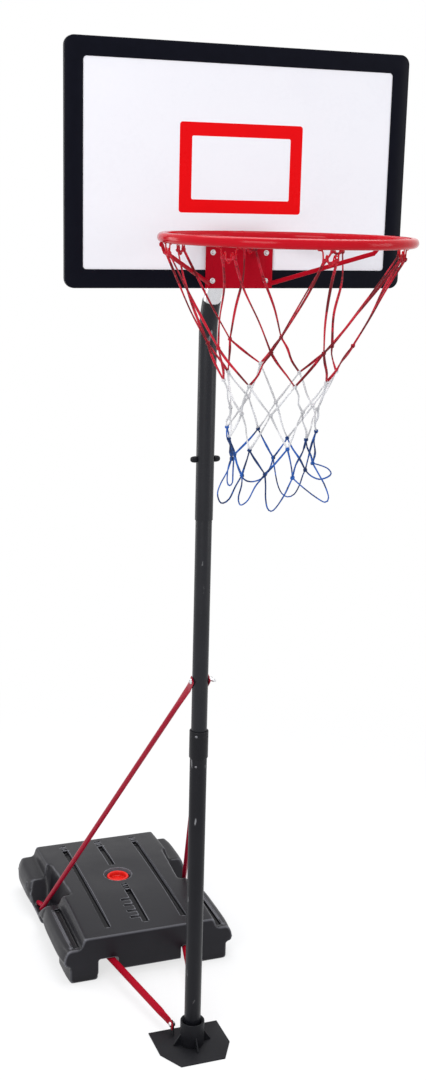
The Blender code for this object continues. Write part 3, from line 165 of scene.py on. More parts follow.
for name, place, aim, size, watts in (
        ("Key", (-2.7, -2.9, 3.1), (0, 0, 1.4), (2.0, 2.4), 104),
        ("Fill", (3.2, -2.0, 2.0), (0, 0, 1.2), (1.6, 2.6), 42),
        ("Top", (0.3, 0.9, 4.0), (0, 0.4, 0), (2.6, 2.6), 96),
        ("Rim", (-2.6, 2.6, 1.7), (0, 0.4, 0.6), (1.0, 2.4), 26)):
    lamp = bpy.data.lights.new(name, "AREA")
    lamp.shape = "RECTANGLE"
    lamp.size, lamp.size_y = size
    lamp.energy = watts
    stand = new_object(name, lamp)
    stand.location = place
    stand.rotation_euler = (Vector(aim) - Vector(place)).to_track_quat("-Z", "Y").to_euler()


# Foot plate: 3 mm steel, its front corners cut off and two lugs folded up for the lower bars,
# painted black. The paint is thin along the sheared edges.
def new_group(name, inputs, outputs):
    """Shader node group with named sockets: the group, what it is given and what it puts out."""
    group = bpy.data.node_groups.new(name, "ShaderNodeTree")
    for label, value in inputs:
        group.interface.new_socket(label, in_out="INPUT", socket_type="NodeSocketFloat").default_value = value
    for label, kind in outputs:
        group.interface.new_socket(label, in_out="OUTPUT", socket_type="NodeSocket" + kind)
    return group, group.nodes.new("NodeGroupInput").outputs, group.nodes.new("NodeGroupOutput").inputs


def mix_colour(tree, share, first, second):
    """Colour between two colours; each may be a socket or plain."""
    plain = {"Factor": share}
    for key, value in ((6, first), (7, second)):
        plain[key] = value if isinstance(value, bpy.types.NodeSocket) else (*value, 1.0)
    return add(tree, "ShaderNodeMix", plain, data_type="RGBA", clamp_factor=True).outputs[2]


def noise(tree, size, detail, place=None):
    """Soft noise over the object's own coordinates, or over a given place."""
    place = own_place(tree) if place is None else place
    return made(tree, "ShaderNodeTexNoise", {"Vector": place, "Scale": size, "Detail": detail})


mottle, given, result = new_group("Mottle", [("Size", 40.0)], [("Shade", "Float"), ("Height", "Float")])
cloud = noise(mottle, given["Size"], 4.0)
fine = noise(mottle, calc(mottle, "MULTIPLY", given["Size"], 14.0), 2.0)
both = calc(mottle, "MULTIPLY_ADD", fine, 0.35, calc(mottle, "MULTIPLY", cloud, 0.65))
mottle.links.new(both, result["Shade"])
mottle.links.new(fine, result["Height"])

# Edge colour mask: worn paint on most materials, a painted highlight along the tank's edges.
edge_wear_glint, given, result = new_group("Edge wear and glint", [("Width", 0.0006), ("Amount", 1.0)],
                                [("Mask", "Float"), ("Normal", "Vector")])
soft = made(edge_wear_glint, "ShaderNodeBevel", {"Radius": given["Width"]}, samples=6)
flat = add(edge_wear_glint, "ShaderNodeNewGeometry").outputs["Normal"]
turned = add(edge_wear_glint, "ShaderNodeVectorMath", {0: soft, 1: flat}, operation="DOT_PRODUCT").outputs["Value"]
edge = ranged(edge_wear_glint, turned, 0.995, 0.86)
patchy = ranged(edge_wear_glint, noise(edge_wear_glint, 260.0, 3.0), 0.35, 0.65)
kept = calc(edge_wear_glint, "MULTIPLY", calc(edge_wear_glint, "MULTIPLY", edge, patchy), given["Amount"])
edge_wear_glint.links.new(kept, result["Mask"])
edge_wear_glint.links.new(soft, result["Normal"])


def grouped(tree, group, **values):
    """Outputs of a node group."""
    return add(tree, "ShaderNodeGroup", values, node_tree=group).outputs


def surface(name, dark, light, rough, grain, relief, edge_colour, edge_width, edge_amount, shine=0.5, plain=None):
    """Material with mottled colour and gloss, a fine relief and softened edges in an edge colour: worn paint on
    most materials, a painted highlight on the tank.
    """
    material, tree, shader = new_material(name)
    cloudy = grouped(tree, mottle, Size=grain)
    edge_marks = grouped(tree, edge_wear_glint, Width=edge_width, Amount=edge_amount)
    base = mix_colour(tree, cloudy["Shade"], dark, light)
    bump = made(tree, "ShaderNodeBump", {"Strength": relief, "Distance": 0.0004, "Height": cloudy["Height"],
                                         "Normal": edge_marks["Normal"]})
    feed(tree, shader, {"Base Color": mix_colour(tree, edge_marks["Mask"], base, edge_colour), "Normal": bump,
                        "Roughness": ranged(tree, cloudy["Shade"], 0.3, 0.7, *rough),
                        "Specular IOR Level": shine, **(plain or {})})
    return material


def repaint(material, share, colour):
    """Lays a colour over a material's own, by a share worked out in the material's tree."""
    tree = material.node_tree
    base = tree.nodes["Principled BSDF"].inputs["Base Color"]
    tree.links.new(mix_colour(tree, share, base.links[0].from_socket, colour), base)


def mesh_of(work, name):
    """Mesh of a finished bmesh, its faces turned outwards."""
    bmesh.ops.recalc_face_normals(work, faces=work.faces)
    mesh = bpy.data.meshes.new(name)
    work.to_mesh(mesh)
    work.free()
    return mesh


def put(name, work, material, body, replaced, smooth=38):
    """Welds the mesh and sets it up as a piece that replaces CAD nodes."""
    bmesh.ops.remove_doubles(work, verts=work.verts, dist=2e-6)
    dress(name, mesh_of(work, name), material, body, replaced, smooth)


def dress(name, mesh, material, body, replaced, smooth=38):
    """Puts a finished mesh in the scene as a named piece on a body."""
    if not mesh.materials:
        mesh.materials.append(material)
    mesh.shade_smooth()
    mesh.set_sharp_from_angle(angle=math.radians(smooth))
    piece = new_object(name, mesh)
    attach(piece, body)
    if replaced:
        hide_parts(*replaced)


def rounded(work, edges, width, segments):
    """Rounds edges of a mesh."""
    bmesh.ops.bevel(work, geom=edges, offset=width, segments=segments, profile=0.5, affect="EDGES",
                    clamp_overlap=True)


def refined(node, width, segments=2):
    """Welded copy of a CAD node's mesh with its sharp edges rounded."""
    work = bmesh.new()
    work.from_mesh(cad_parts[node].data)
    bmesh.ops.remove_doubles(work, verts=work.verts, dist=1e-5)
    bmesh.ops.dissolve_limit(work, angle_limit=math.radians(1), verts=work.verts, edges=work.edges)
    sharp = math.radians(30)
    edges = [edge for edge in work.edges if len(edge.link_faces) == 2 and edge.calc_face_angle(0) > sharp]
    rounded(work, edges, width, segments)
    return work


black_steel = surface("Black painted steel", (0.008, 0.008, 0.0095), (0.018, 0.018, 0.021), (0.36, 0.55), 34.0,
                      0.25, (0.08, 0.08, 0.09), 0.0009, 0.8, shine=0.09)
put("foot_plate_steel", refined("foot_plate", 0.0005), black_steel, "base", ["foot_plate"])


# Collar: moulded socket with four gussets and a chamfered mouth, pushed onto the foot plate's
# stub. The lower pole stands in it. Black plastic with a fine moulded grain.
def eased(points, radius, closed=False, steps=3):
    """Flat outline or profile with its corners rounded."""
    out = []
    count = len(points)
    for index, corner in enumerate(points):
        if not closed and index in (0, count - 1):
            out.append(tuple(corner))
            continue
        corner = Vector(corner)
        before, after = Vector(points[index - 1]), Vector(points[(index + 1) % count])
        reach = min(radius, (before - corner).length * 0.45, (after - corner).length * 0.45)
        start = corner + (before - corner).normalized() * reach
        end = corner + (after - corner).normalized() * reach
        for step in range(steps + 1):
            t = step / steps
            out.append(tuple(start * (1 - t) ** 2 + corner * 2 * t * (1 - t) + end * t ** 2))
    return out


def turn_angles(steps):
    """Equal steps of a whole turn."""
    return [2 * math.pi * step / steps for step in range(steps)]


def bridged(work, rings, closed=False):
    """Skins faces between each ring of vertices and the next, and gives them row by row."""
    rows = []
    for low, high in zip(rings, rings[1:] + (rings[:1] if closed else [])):
        row = []
        for step in range(len(low)):
            after = (step + 1) % len(low)
            corners = list(dict.fromkeys((low[step], low[after], high[after], high[step])))
            if len(corners) > 2:
                row.append(work.faces.new(corners))
        rows.append(row)
    return rows


def lathe(profile, steps, centre=(0, 0, 0), axis=(0, 0, 1), closed=False, shape=None):
    """Turns a profile of (radius, height) about an axis; shape(angle, radius, height) changes a radius."""
    work = bmesh.new()
    stand = Matrix.Translation(centre) @ Vector(axis).to_track_quat("Z", "Y").to_matrix().to_4x4()
    rings = []
    for radius, height in profile:
        if radius == 0:
            rings.append([work.verts.new(stand @ Vector((0, 0, height)))] * steps)
            continue
        ring = []
        for angle in turn_angles(steps):
            reach = shape(angle, radius, height) if shape else radius
            place = Vector((reach * math.cos(angle), reach * math.sin(angle), height))
            ring.append(work.verts.new(stand @ place))
        rings.append(ring)
    bridged(work, rings, closed)
    return work


def rectangle(left, end, low, high):
    """Outline of a plain rectangle."""
    return [(left, low), (end, low), (end, high), (left, high)]


def slab(work, outline, thickness, stand):
    """Adds a flat outline, thickened about its plane, moved by a matrix."""
    sides = []
    for half in (-thickness / 2, thickness / 2):
        sides.append([work.verts.new(stand @ Vector((x, y, half))) for x, y in outline])
        work.faces.new(sides[-1])
    bridged(work, sides)
    return work


black_plastic = surface("Black moulded plastic", (0.005, 0.005, 0.0065), (0.01, 0.0102, 0.013), (0.36, 0.5),
                        90.0, 0.35, (0.04, 0.04, 0.05), 0.0009, 0.5, shine=0.14)
collar = [(0.027, 0.065), (0.0292, 0.0642), (0.0292, 0.0036), (0.02, 0.0033), (0.02, 0.058)]
collar_work = lathe(eased(collar, 0.001, closed=True), 96, closed=True)
gusset = [(0.027, 0.0), (0.0472, 0.0), (0.0472, 0.002), (0.0292, 0.028), (0.027, 0.028)]
gusset = eased(gusset, 0.001, closed=True)
upright = Matrix.Rotation(math.pi / 2, 4, "X")
for quarter in range(4):
    turn = Matrix.Rotation(math.pi / 2 * quarter, 4, "Z") @ Matrix.Translation((0, 0, 0.0035))
    slab(collar_work, gusset, 0.003, turn @ upright)
put("collar_moulding", collar_work, black_plastic, "base", ["foot_collar"])


# Lower and mid poles: straight steel tube, painted charcoal. The mid pole is 3 mm smaller across, so
# that it plugs into the lower one and slides in the upper one. Its charcoal is painted lighter, as it stands in
# more light.
def pole_paint(name, dark, light, shine):
    """Charcoal enamel with long pale scuffs."""
    material = surface(name, dark, light, (0.28, 0.42), 16.0, 0.16, (0.08, 0.08, 0.09), 0.0006, 0.5, shine)
    tree = material.node_tree
    stretch = made(tree, "ShaderNodeMapping", {"Vector": own_place(tree), "Scale": (70.0, 70.0, 16.0)})
    repaint(material, ranged(tree, noise(tree, 1.0, 5.0, stretch), 0.68, 0.74, 0.0, 0.8), (0.3, 0.3, 0.31))
    return material


charcoal = pole_paint("Charcoal paint", (0.0045, 0.0045, 0.0064), (0.0105, 0.0105, 0.0138), 0.17)
# Painted light: the same charcoal made lighter for the mid and upper poles, which stand in more light.
lit_charcoal = pole_paint("Charcoal paint, painted lighter", (0.0085, 0.0088, 0.0112), (0.018, 0.0185, 0.0225), 0.2)
pole_radius, pole_wall, inner_radius = 0.0197, 0.0012, 0.0182
for name, node, radius, low, high, paint in (
        ("lower_pole_tube", "lower_pole", pole_radius, 0.0033, 0.79, charcoal),
        ("mid_pole_tube", "mid_pole", inner_radius, 0.66, 1.465, lit_charcoal)):
    wall = [(radius, high), (radius, low), (radius - pole_wall, low), (radius - pole_wall, high)]
    put(name, lathe(eased(wall, 0.0004, closed=True, steps=2), 96, closed=True), paint, "base", [node])


# Coupling: plastic sleeve over the joint of the two poles, held by one small screw, with the
# mid pole's sprung button below it in the lower pole's hole.
coupling = [(0.0206, 0.808), (0.0218, 0.8068), (0.0218, 0.798), (0.0214, 0.7974), (0.0214, 0.7966),
            (0.0218, 0.796), (0.0218, 0.7432), (0.0206, 0.742), (0.02, 0.742), (0.02, 0.7903),
            (0.0185, 0.7903), (0.0185, 0.808)]
sleeve_plastic = surface("Sleeve plastic", (0.0045, 0.0045, 0.006), (0.01, 0.01, 0.0125), (0.34, 0.48), 60.0,
                         0.3, (0.06, 0.06, 0.07), 0.0006, 0.5, shine=0.16)
put("coupling_sleeve", lathe(eased(coupling, 0.0005, closed=True, steps=2), 96, closed=True), sleeve_plastic,
    "base", ["pole_coupling"])


def pan_screw(head, height, shank, length, washer=0.0):
    """Pan head screw at the origin, its head up, with a cross recess and a washer if it has one."""
    top = height + washer / 3
    profile = [(0.0, top - height * 0.3), (head * 0.16, top - height * 0.3), (head * 0.22, top),
               (head * 0.66, top * 0.9), (head * 0.92, top * 0.52), (head, washer / 3 + height * 0.06),
               (head * 0.98, washer / 3)]
    if washer:
        profile += [(head + washer, washer / 3), (head + washer, 0.0)]
    profile += [(shank, 0.0), (shank, -length + shank * 0.3), (shank * 0.7, -length), (0.0, -length)]
    work = lathe(profile, 32)
    arm = rectangle(-head * 0.52, head * 0.52, -head * 0.1, head * 0.1)
    for turn in (0, math.pi / 2):
        slab(work, arm, height * 0.1, Matrix.Translation((0, 0, top)) @ Matrix.Rotation(turn, 4, "Z"))
    return work


def hexagon_nut(across, height, bore):
    """Hexagon nut at the origin with chamfered corners, its face down."""
    def six_sided(angle, radius, _):
        facet = across / 2 / math.cos((angle + math.pi / 6) % (math.pi / 3) - math.pi / 6)
        return min(radius, facet)
    profile = [(bore, 0.0)]
    for share, level in ((0.99, 0.0), (1.12, 0.1), (1.16, 0.18), (1.16, 0.82), (1.12, 0.9), (0.99, 1.0)):
        profile.append((across / 2 * share, height * level))
    return lathe(profile + [(bore, height)], 48, closed=True, shape=six_sided)


def copying_tree(name, inputs, place):
    """Geometry node tree that copies a model; place(tree, given) gives the points and the turn."""
    tree = bpy.data.node_groups.new(name, "GeometryNodeTree")
    tree.interface.new_socket("Geometry", in_out="INPUT", socket_type="NodeSocketGeometry")
    sockets = {}
    for label, kind in {"Model": "Object", "Finish": "Material", **inputs}.items():
        socket = tree.interface.new_socket(label, in_out="INPUT", socket_type="NodeSocket" + kind)
        sockets[label] = socket.identifier
    tree.interface.new_socket("Geometry", in_out="OUTPUT", socket_type="NodeSocketGeometry")
    given = tree.nodes.new("NodeGroupInput").outputs
    model = add(tree, "GeometryNodeObjectInfo", {"Object": given["Model"]}).outputs["Geometry"]
    points, turn = place(tree, given)
    placed = made(tree, "GeometryNodeInstanceOnPoints", {"Points": points, "Instance": model, "Rotation": turn})
    real = made(tree, "GeometryNodeRealizeInstances", {"Geometry": placed})
    coloured = made(tree, "GeometryNodeSetMaterial", {"Geometry": real, "Material": given["Finish"]})
    add(tree, "NodeGroupOutput", {"Geometry": coloured})
    return tree, sockets


def loose(work, name="Block"):
    """Plain object from a mesh, to be copied, joined or cut with another."""
    return new_object(name, mesh_of(work, name))


def applied(thing):
    """Mesh of an object with its modifiers applied."""
    return bpy.data.meshes.new_from_object(thing.evaluated_get(bpy.context.evaluated_depsgraph_get()))


def grown(name, model_work, mesh, copying, values):
    """Mesh that a copying tree grows from a start mesh and a model, with these inputs."""
    tree, sockets = copying
    model = loose(model_work, name + "_model")
    start = new_object(name, mesh)
    modifier = start.modifiers.new(name, "NODES")
    modifier.node_group = tree
    for label, value in {"Model": model, **values}.items():
        modifier[sockets[label]] = value
    result = applied(start)
    bpy.data.objects.remove(start)
    bpy.data.objects.remove(model)
    return result


def facing_points(tree, given):
    """One copy at each point of the start mesh, turned to the point's own direction."""
    facing = made(tree, "GeometryNodeInputNamedAttribute", {"Name": "facing"}, data_type="FLOAT_VECTOR")
    points = made(tree, "GeometryNodeMeshToPoints", {"Mesh": given["Geometry"]})
    return points, made(tree, "FunctionNodeAlignRotationToVector", {"Vector": facing}, axis="Z")


fixing_copies = copying_tree("Fixings", {}, facing_points)


def copied(name, shape, spots, material):
    """Mesh of copies of one shape at spots of (place, direction of its top)."""
    mesh = bpy.data.meshes.new(name)
    mesh.from_pydata([place for place, _ in spots], [], [])
    facing = mesh.attributes.new("facing", "FLOAT_VECTOR", "POINT")
    for item, (_, direction) in zip(facing.data, spots):
        item.vector = direction
    return grown(name, shape, mesh, fixing_copies, {"Finish": material})


def fixings(name, shape, spots, material, body, replaced):
    """Copies one fixing to its spots and sets the copies up as one piece."""
    dress(name, copied(name, shape, spots, material), material, body, replaced, 30)


zinc = surface("Zinc plate", (0.5, 0.5, 0.52), (0.74, 0.74, 0.76), (0.2, 0.36), 120.0, 0.12,
               (0.86, 0.86, 0.88), 0.0004, 0.4, plain={"Metallic": 1.0})
dull_zinc = surface("Dull zinc", (0.1, 0.1, 0.11), (0.26, 0.26, 0.28), (0.36, 0.55), 300.0, 0.2,
                    (0.34, 0.34, 0.36), 0.0004, 0.4, plain={"Metallic": 1.0})
fastener_turn = math.radians(35)
outward = Vector((-math.sin(fastener_turn), -math.cos(fastener_turn), 0))
fixings("coupling_screws", pan_screw(0.0032, 0.0016, 0.0015, 0.003),
        [(outward * 0.0221 + Vector((0, 0, 0.799)), outward)], dull_zinc, "base", ["coupling_screw"])
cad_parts["snap_button"].data.materials[0] = dull_zinc


# Upper pole: tube as wide as the lower pole, which slides over the mid pole; its charcoal is painted lighter,
# as the mid pole's is. It is bent 26 degrees forward at its top, with a clean cut end.
def tube(path, sizes, sides=24, across=None, closed=False, wall=0.0, work=None):
    """Skins sections along a path, with a UV map in metres along it and turns round it.

    sizes is one (wide, thin) half size or one a point; across gives the wide side's direction.
    """
    points = [Vector(point) for point in path]
    count = len(points)
    sizes = sizes if isinstance(sizes, list) else [sizes] * count
    work = work or bmesh.new()
    uv = work.loops.layers.uv.get("UVMap") or work.loops.layers.uv.new("UVMap")
    run, side, frames = [0.0], None, []
    for index, point in enumerate(points):
        if closed:
            before, after = points[index - 1], points[(index + 1) % count]
        else:
            before, after = points[max(index - 1, 0)], points[min(index + 1, count - 1)]
        ahead = (after - before).normalized()
        if across:
            side = Vector(across[index] if isinstance(across, list) else across)
        elif side is None:
            side = Vector((0, 0, 1)) if abs(ahead.z) < 0.8 else Vector((1, 0, 0))
        side = (side - ahead * side.dot(ahead)).normalized()
        frames.append((side.copy(), ahead.cross(side)))
        run.append(run[-1] + (points[(index + 1) % count] - point).length)

    def skin(inset):
        """Skins the path's outside, or its inside, and gives its two end rings."""
        rings = []
        for point, (wide_way, thin_way), (wide, thin) in zip(points, frames, sizes):
            rings.append([work.verts.new(point + wide_way * (wide - inset) * math.cos(angle)
                                         + thin_way * (thin - inset) * math.sin(angle))
                          for angle in turn_angles(sides)])
        for row, faces in enumerate(bridged(work, rings, closed)):
            for step, face in enumerate(faces):
                for loop, (far, turn) in zip(face.loops, ((0, 0), (0, 1), (1, 1), (1, 0))):
                    loop[uv].uv = run[row + far], (step + turn) / sides
        return rings[0], rings[-1]

    ends = skin(0.0)
    if wall:
        for outside, inside in zip(ends, skin(wall)):
            bridged(work, [outside, inside])
    elif not closed:
        for end in ends:
            work.faces.new(end)
    return work


bend_radius, bend_height = 0.174, 1.7


def bend_line(first, last, steps):
    """Centre line of the pole's forward bend between two angles, in degrees."""
    line = []
    for step in range(steps + 1):
        angle = math.radians(first + (last - first) * step / steps)
        y, rise = bend_radius * (math.cos(angle) - 1), bend_radius * math.sin(angle)
        line.append(Vector((0, y, bend_height + rise)))
    return line


upper_line = [Vector((0, 0, 1.3)), Vector((0, 0, 1.302)), Vector((0, 0, 1.5))] + bend_line(0, 26, 26)
put("upper_pole_tube", tube(upper_line, (pole_radius, pole_radius), 72, across=(1, 0, 0), wall=pole_wall),
    lit_charcoal, "upper", ["upper_pole"])


# Height knobs: two small fluted hand screws, one each side, whose stems press on the mid pole.
knob_profile = [(0.0, 0.0334), (0.003, 0.0337), (0.005, 0.0325), (0.0064, 0.0292), (0.0072, 0.0238),
                (0.007, 0.0212), (0.0064, 0.0203), (0.003, 0.0203), (0.003, 0.0184), (0.0, 0.0184)]


def fluted(angle, radius, height):
    """Six finger flutes in the grip, none in the stem."""
    if height < 0.0205 or height > 0.033:
        return radius
    return radius * (1.0 - 0.16 * max(0.0, math.cos(6 * angle)) ** 2)


for side, name, node in ((-1, "knob_left_grip", "height_knob_left"),
                         (1, "knob_right_grip", "height_knob_right")):
    knob = lathe(eased(knob_profile, 0.001), 72, (0, 0, 1.435), (side, 0, 0), shape=fluted)
    put(name, knob, black_plastic, "knob_left" if side < 0 else "knob_right", [node])


# Neck: bright zinc tube plugged into the bent pole. It turns back to upright behind the board,
# where a plastic cap closes its open top.
gap = 0.0003                      # between parts that touch
neck_radius, neck_top, neck_angle = pole_radius - pole_wall - gap, 2.09, math.radians(45)
neck_line = bend_line(12, 45, 24)
turn_y = neck_line[-1].y + bend_radius * math.cos(neck_angle)
turn_z = neck_line[-1].z + bend_radius * math.sin(neck_angle)
for step in range(1, 25):
    angle = neck_angle * (1 - step / 24)
    y, z = turn_y - bend_radius * math.cos(angle), turn_z - bend_radius * math.sin(angle)
    neck_line.append(Vector((0, y, z)))
neck_y = neck_line[-1].y
neck_line.append(Vector((0, neck_y, neck_top)))
put("neck_tube", tube(neck_line, (neck_radius, neck_radius), 64, across=(1, 0, 0), wall=pole_wall), zinc,
    "upper", ["pole_neck"])
cap_profile = [(0.0, 0.0035), (0.0125, 0.0031), (0.0176, 0.0016), (0.0181, 0.0003), (0.0164, 0.0003),
               (0.0164, -0.014), (0.0, -0.014)]
put("neck_end_cap", lathe(eased(cap_profile, 0.0008), 64, (0, neck_y, neck_top)), black_plastic, "upper",
    ["neck_cap"])


# Brackets: two zinc-plated channels on the board's back. Their ears hold the neck between cross
# bolts, and the upper one is screwed to the frame's cross rib.
for name, node in (("lower_bracket_steel", "lower_bracket"), ("upper_bracket_steel", "upper_bracket")):
    put(name, refined(node, 0.0006), zinc, "upper", [node])
sheet, screw_x, board_front, board_depth = 0.0025, 0.0565, -0.171, 0.012
ear = pole_radius + 2 * gap + sheet + gap
bolt_spots, nut_spots = [], []
for low, high in (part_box("neck_bolt_lower"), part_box("neck_bolt_upper")):
    y, z = (low[1] + high[1]) / 2, (low[2] + high[2]) / 2
    bolt_spots.append(((-ear, y, z), (-1, 0, 0)))
    nut_spots.append(((ear, y, z), (1, 0, 0)))
fixings("neck_bolts", pan_screw(0.0063, 0.0036, 0.003, ear * 2 + 0.008), bolt_spots, zinc, "upper",
        ["neck_bolt_lower", "neck_bolt_upper"])
fixings("neck_nuts", hexagon_nut(0.01, 0.0048, 0.0031), nut_spots, zinc, "upper",
        ["neck_nut_lower", "neck_nut_upper"])
bracket_back = board_front + board_depth + gap + sheet + gap
fixings("bracket_screws", pan_screw(0.0036, 0.002, 0.0015, 0.011),
        [((x, bracket_back, 2.06), (0, 1, 0)) for x in (-screw_x, screw_x)], zinc, "upper",
        ["bracket_screw_left", "bracket_screw_right"])


# Board: a black moulded frame with round corners, 36 mm wide, with ribs across its back, and a
# white plastic panel slid into it. The target is printed in red on the panel's front.
board_width, board_height, board_bottom, border, lip, panel = 0.71, 0.46, 1.812, 0.036, 0.002, 0.003
board_middle = board_bottom + board_height / 2


def round_rectangle(width, height, radius, steps=10):
    """Outline of a rectangle with round corners."""
    points = []
    for quarter, (sx, sy) in enumerate(((1, 1), (-1, 1), (-1, -1), (1, -1))):
        for step in range(steps + 1):
            angle = math.pi / 2 * (quarter + step / steps)
            points.append((sx * (width / 2 - radius) + radius * math.cos(angle),
                           sy * (height / 2 - radius) + radius * math.sin(angle)))
    return points


def framed(levels):
    """Skins rounded rectangles of (width, height, radius, depth y), one inside the next."""
    work = bmesh.new()
    rings = []
    for width, height, radius, y in levels:
        outline = round_rectangle(width, height, radius)
        rings.append([work.verts.new((x, y, board_middle + z)) for x, z in outline])
    bridged(work, rings, closed=True)
    return work


def standing(work, outline, low, high):
    """Adds an upright outline of (x, z), as thick as from low to high in y."""
    return slab(work, outline, high - low, Matrix.Translation((0, (low + high) / 2, 0)) @ upright)


window = (board_width - 2 * border, board_height - 2 * border)
back = board_front + board_depth
frame_levels = []
for inset, depth in ((0.0, 0.0105), (0.0, 0.0018), (0.0005, 0.0006), (0.0018, 0.0)):
    frame_levels.append((board_width - 2 * inset, board_height - 2 * inset, 0.019 - inset, board_front + depth))
for outset, depth in ((0.0014, 0.0), (0.0004, 0.0004), (0.0, 0.0014), (0.0, 0.0017)):
    frame_levels.append((window[0] + 2 * outset, window[1] + 2 * outset, 0.007 + outset, board_front + depth))
panel_back = board_front + lip + panel + gap
frame_levels += [(window[0], window[1], 0.0065, panel_back), (window[0], window[1], 0.0065, back),
                 (board_width - 0.003, board_height - 0.003, 0.0175, back)]
board_work = framed(frame_levels)
rib_low, rib_high = board_bottom + border - 0.004, board_bottom + board_height - border + 0.004
reach = window[0] / 2 + 0.004
ribs = [(rectangle(x - 0.017, x + 0.017, rib_low, rib_high), back) for x in (-screw_x, screw_x)]
ribs.append((rectangle(-reach, reach, 2.035, 2.085), back - 0.0004))
for outline, rib_back in ribs:
    standing(board_work, eased(outline, 0.002, True), panel_back, rib_back)
frame_plastic = surface("Board frame plastic", (0.0011, 0.0013, 0.0042), (0.0026, 0.003, 0.0078), (0.32, 0.46),
                        60.0, 0.25, (0.02, 0.02, 0.03), 0.0012, 0.4, shine=0.07)
put("board_frame_moulding", board_work, frame_plastic, "upper", ["board_frame"], 32)

panel_white = surface("White panel", (0.8, 0.792, 0.835), (0.845, 0.836, 0.872), (0.24, 0.34), 9.0, 0.05,
                      (0.8, 0.8, 0.82), 0.0005, 0.2, shine=0.06)
tree = panel_white.node_tree
axes = add(tree, "ShaderNodeSeparateXYZ", {0: own_place(tree)}).outputs
target_half, target_high, target_line = 0.128, 0.085, 0.0255
target_z = board_bottom + 0.145 + target_high
from_middle = calc(tree, "ABSOLUTE", axes["X"])
from_centre = calc(tree, "ABSOLUTE", calc(tree, "SUBTRACT", axes["Z"], target_z))
edges = []
for inset, radius in ((0.0, 0.006), (target_line, 0.003)):
    off_x = calc(tree, "SUBTRACT", from_middle, target_half - inset - radius)
    off_z = calc(tree, "SUBTRACT", from_centre, target_high - inset - radius)
    corner = made(tree, "ShaderNodeCombineXYZ", {"X": calc(tree, "MAXIMUM", off_x, 0.0),
                                                 "Z": calc(tree, "MAXIMUM", off_z, 0.0)})
    inside = calc(tree, "MINIMUM", calc(tree, "MAXIMUM", off_x, off_z), 0.0)
    beyond = calc(tree, "ADD", length(tree, corner), inside)
    edges.append(ranged(tree, beyond, radius + 0.0002, radius - 0.0002))
on_front = calc(tree, "LESS_THAN", axes["Y"], board_front + lip + 0.001)
cloudy = grouped(tree, mottle, Size=25.0)["Shade"]
inked = mix_colour(tree, cloudy, (0.7, 0.0025, 0.0045), (0.78, 0.0035, 0.006))
repaint(panel_white, calc(tree, "MULTIPLY", calc(tree, "SUBTRACT", *edges), on_front), inked)
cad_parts["board_panel"].data.materials[0] = panel_white


# Rim plate: crimson painted steel, bolted through board and bracket by four round-head bolts
# with washers. Its top edge is folded forward into the shelf that carries the ring.
crimson = surface("Crimson paint", (0.36, 0.002, 0.01), (0.41, 0.0032, 0.0145), (0.24, 0.38), 28.0, 0.12,
                  (0.46, 0.03, 0.04), 0.0008, 0.6, shine=0.05)
put("rim_plate_steel", refined("rim_plate", 0.0007), crimson, "upper", ["rim_plate"])
plate_front = board_front - gap - sheet - gap
rim_spots = [(x, z) for z in (1.827, 1.882) for x in (-screw_x, screw_x)]
fixings("rim_bolts", pan_screw(0.0036, 0.0028, 0.003, 0.0255, washer=0.0018),
        [((x, plate_front, z), (0, -1, 0)) for x, z in rim_spots], zinc, "upper",
        [f"rim_bolt_{number}" for number in (1, 2, 3, 4)])
fixings("rim_nuts", hexagon_nut(0.01, 0.0048, 0.0031),
        [((x, bracket_back, z), (0, 1, 0)) for x, z in rim_spots], zinc, "upper",
        [f"rim_nut_{number}" for number in (1, 2, 3, 4)])


# Ring: 18 mm steel tube rolled to a 457 mm circle, its ends joined by a weld bead over the
# shelf, with a thick glossy red coat.
ring_radius, ring_tube, ring_height, ring_y = 0.2285, 0.009, 1.9155, board_front - 0.242
ring_paint = surface("Ring paint", (0.43, 0.0018, 0.0085), (0.52, 0.003, 0.013), (0.1, 0.18), 22.0, 0.07,
                     (0.5, 0.03, 0.04), 0.0005, 0.3, shine=0.08,
                     plain={"Coat Weight": 0.07, "Coat Roughness": 0.04})


def ring_point(angle, radius=ring_radius, height=ring_height):
    """Point round the ring: zero is to the right and a quarter turn is at the back."""
    return Vector((radius * math.cos(angle), ring_y + radius * math.sin(angle), height))


round_ring = 2 * math.pi * ring_radius
arcs = [0.0, 0.0012, 0.0024, 0.004] + [round_ring * step / 190 for step in range(1, 190)]
arcs += [round_ring - 0.004, round_ring - 0.0024, round_ring - 0.0012]
ring_line = [ring_point(math.pi / 2 + arc / ring_radius) for arc in arcs]
ring_sizes = []
for arc in arcs:
    bead = 0.0006 * max(0.0, 1 - (min(arc, round_ring - arc) / 0.0028) ** 2)
    ring_sizes.append((ring_tube + bead, ring_tube + bead))
ring_work = tube(ring_line, ring_sizes, 32, across=(0, 0, 1), closed=True)
put("ring_tube", ring_work, ring_paint, "upper", ["rim_ring"])


# Ring braces: two flattened bars from the plate's lower corners up to the sides of the ring,
# welded at both ends and painted with the plate.
def smooth_line(points, step):
    """Smooth line through points, with a point about every step."""
    points = [Vector(point) for point in points]
    ends = [points[0] * 2 - points[1], *points, points[-1] * 2 - points[-2]]
    out = []
    for index in range(1, len(ends) - 2):
        p0, p1, p2, p3 = ends[index - 1:index + 3]
        count = max(2, round((p2 - p1).length / step))
        for part in range(count):
            t = part / count
            out.append(0.5 * (2 * p1 + (p2 - p0) * t + (2 * p0 - 5 * p1 + 4 * p2 - p3) * t ** 2
                              + (3 * p1 - p0 - 3 * p2 + p3) * t ** 3))
    return out + [points[-1]]


def mirrored(point, side):
    """The point on the left for side -1, as it is for side 1."""
    return Vector((side * point[0], point[1], point[2]))


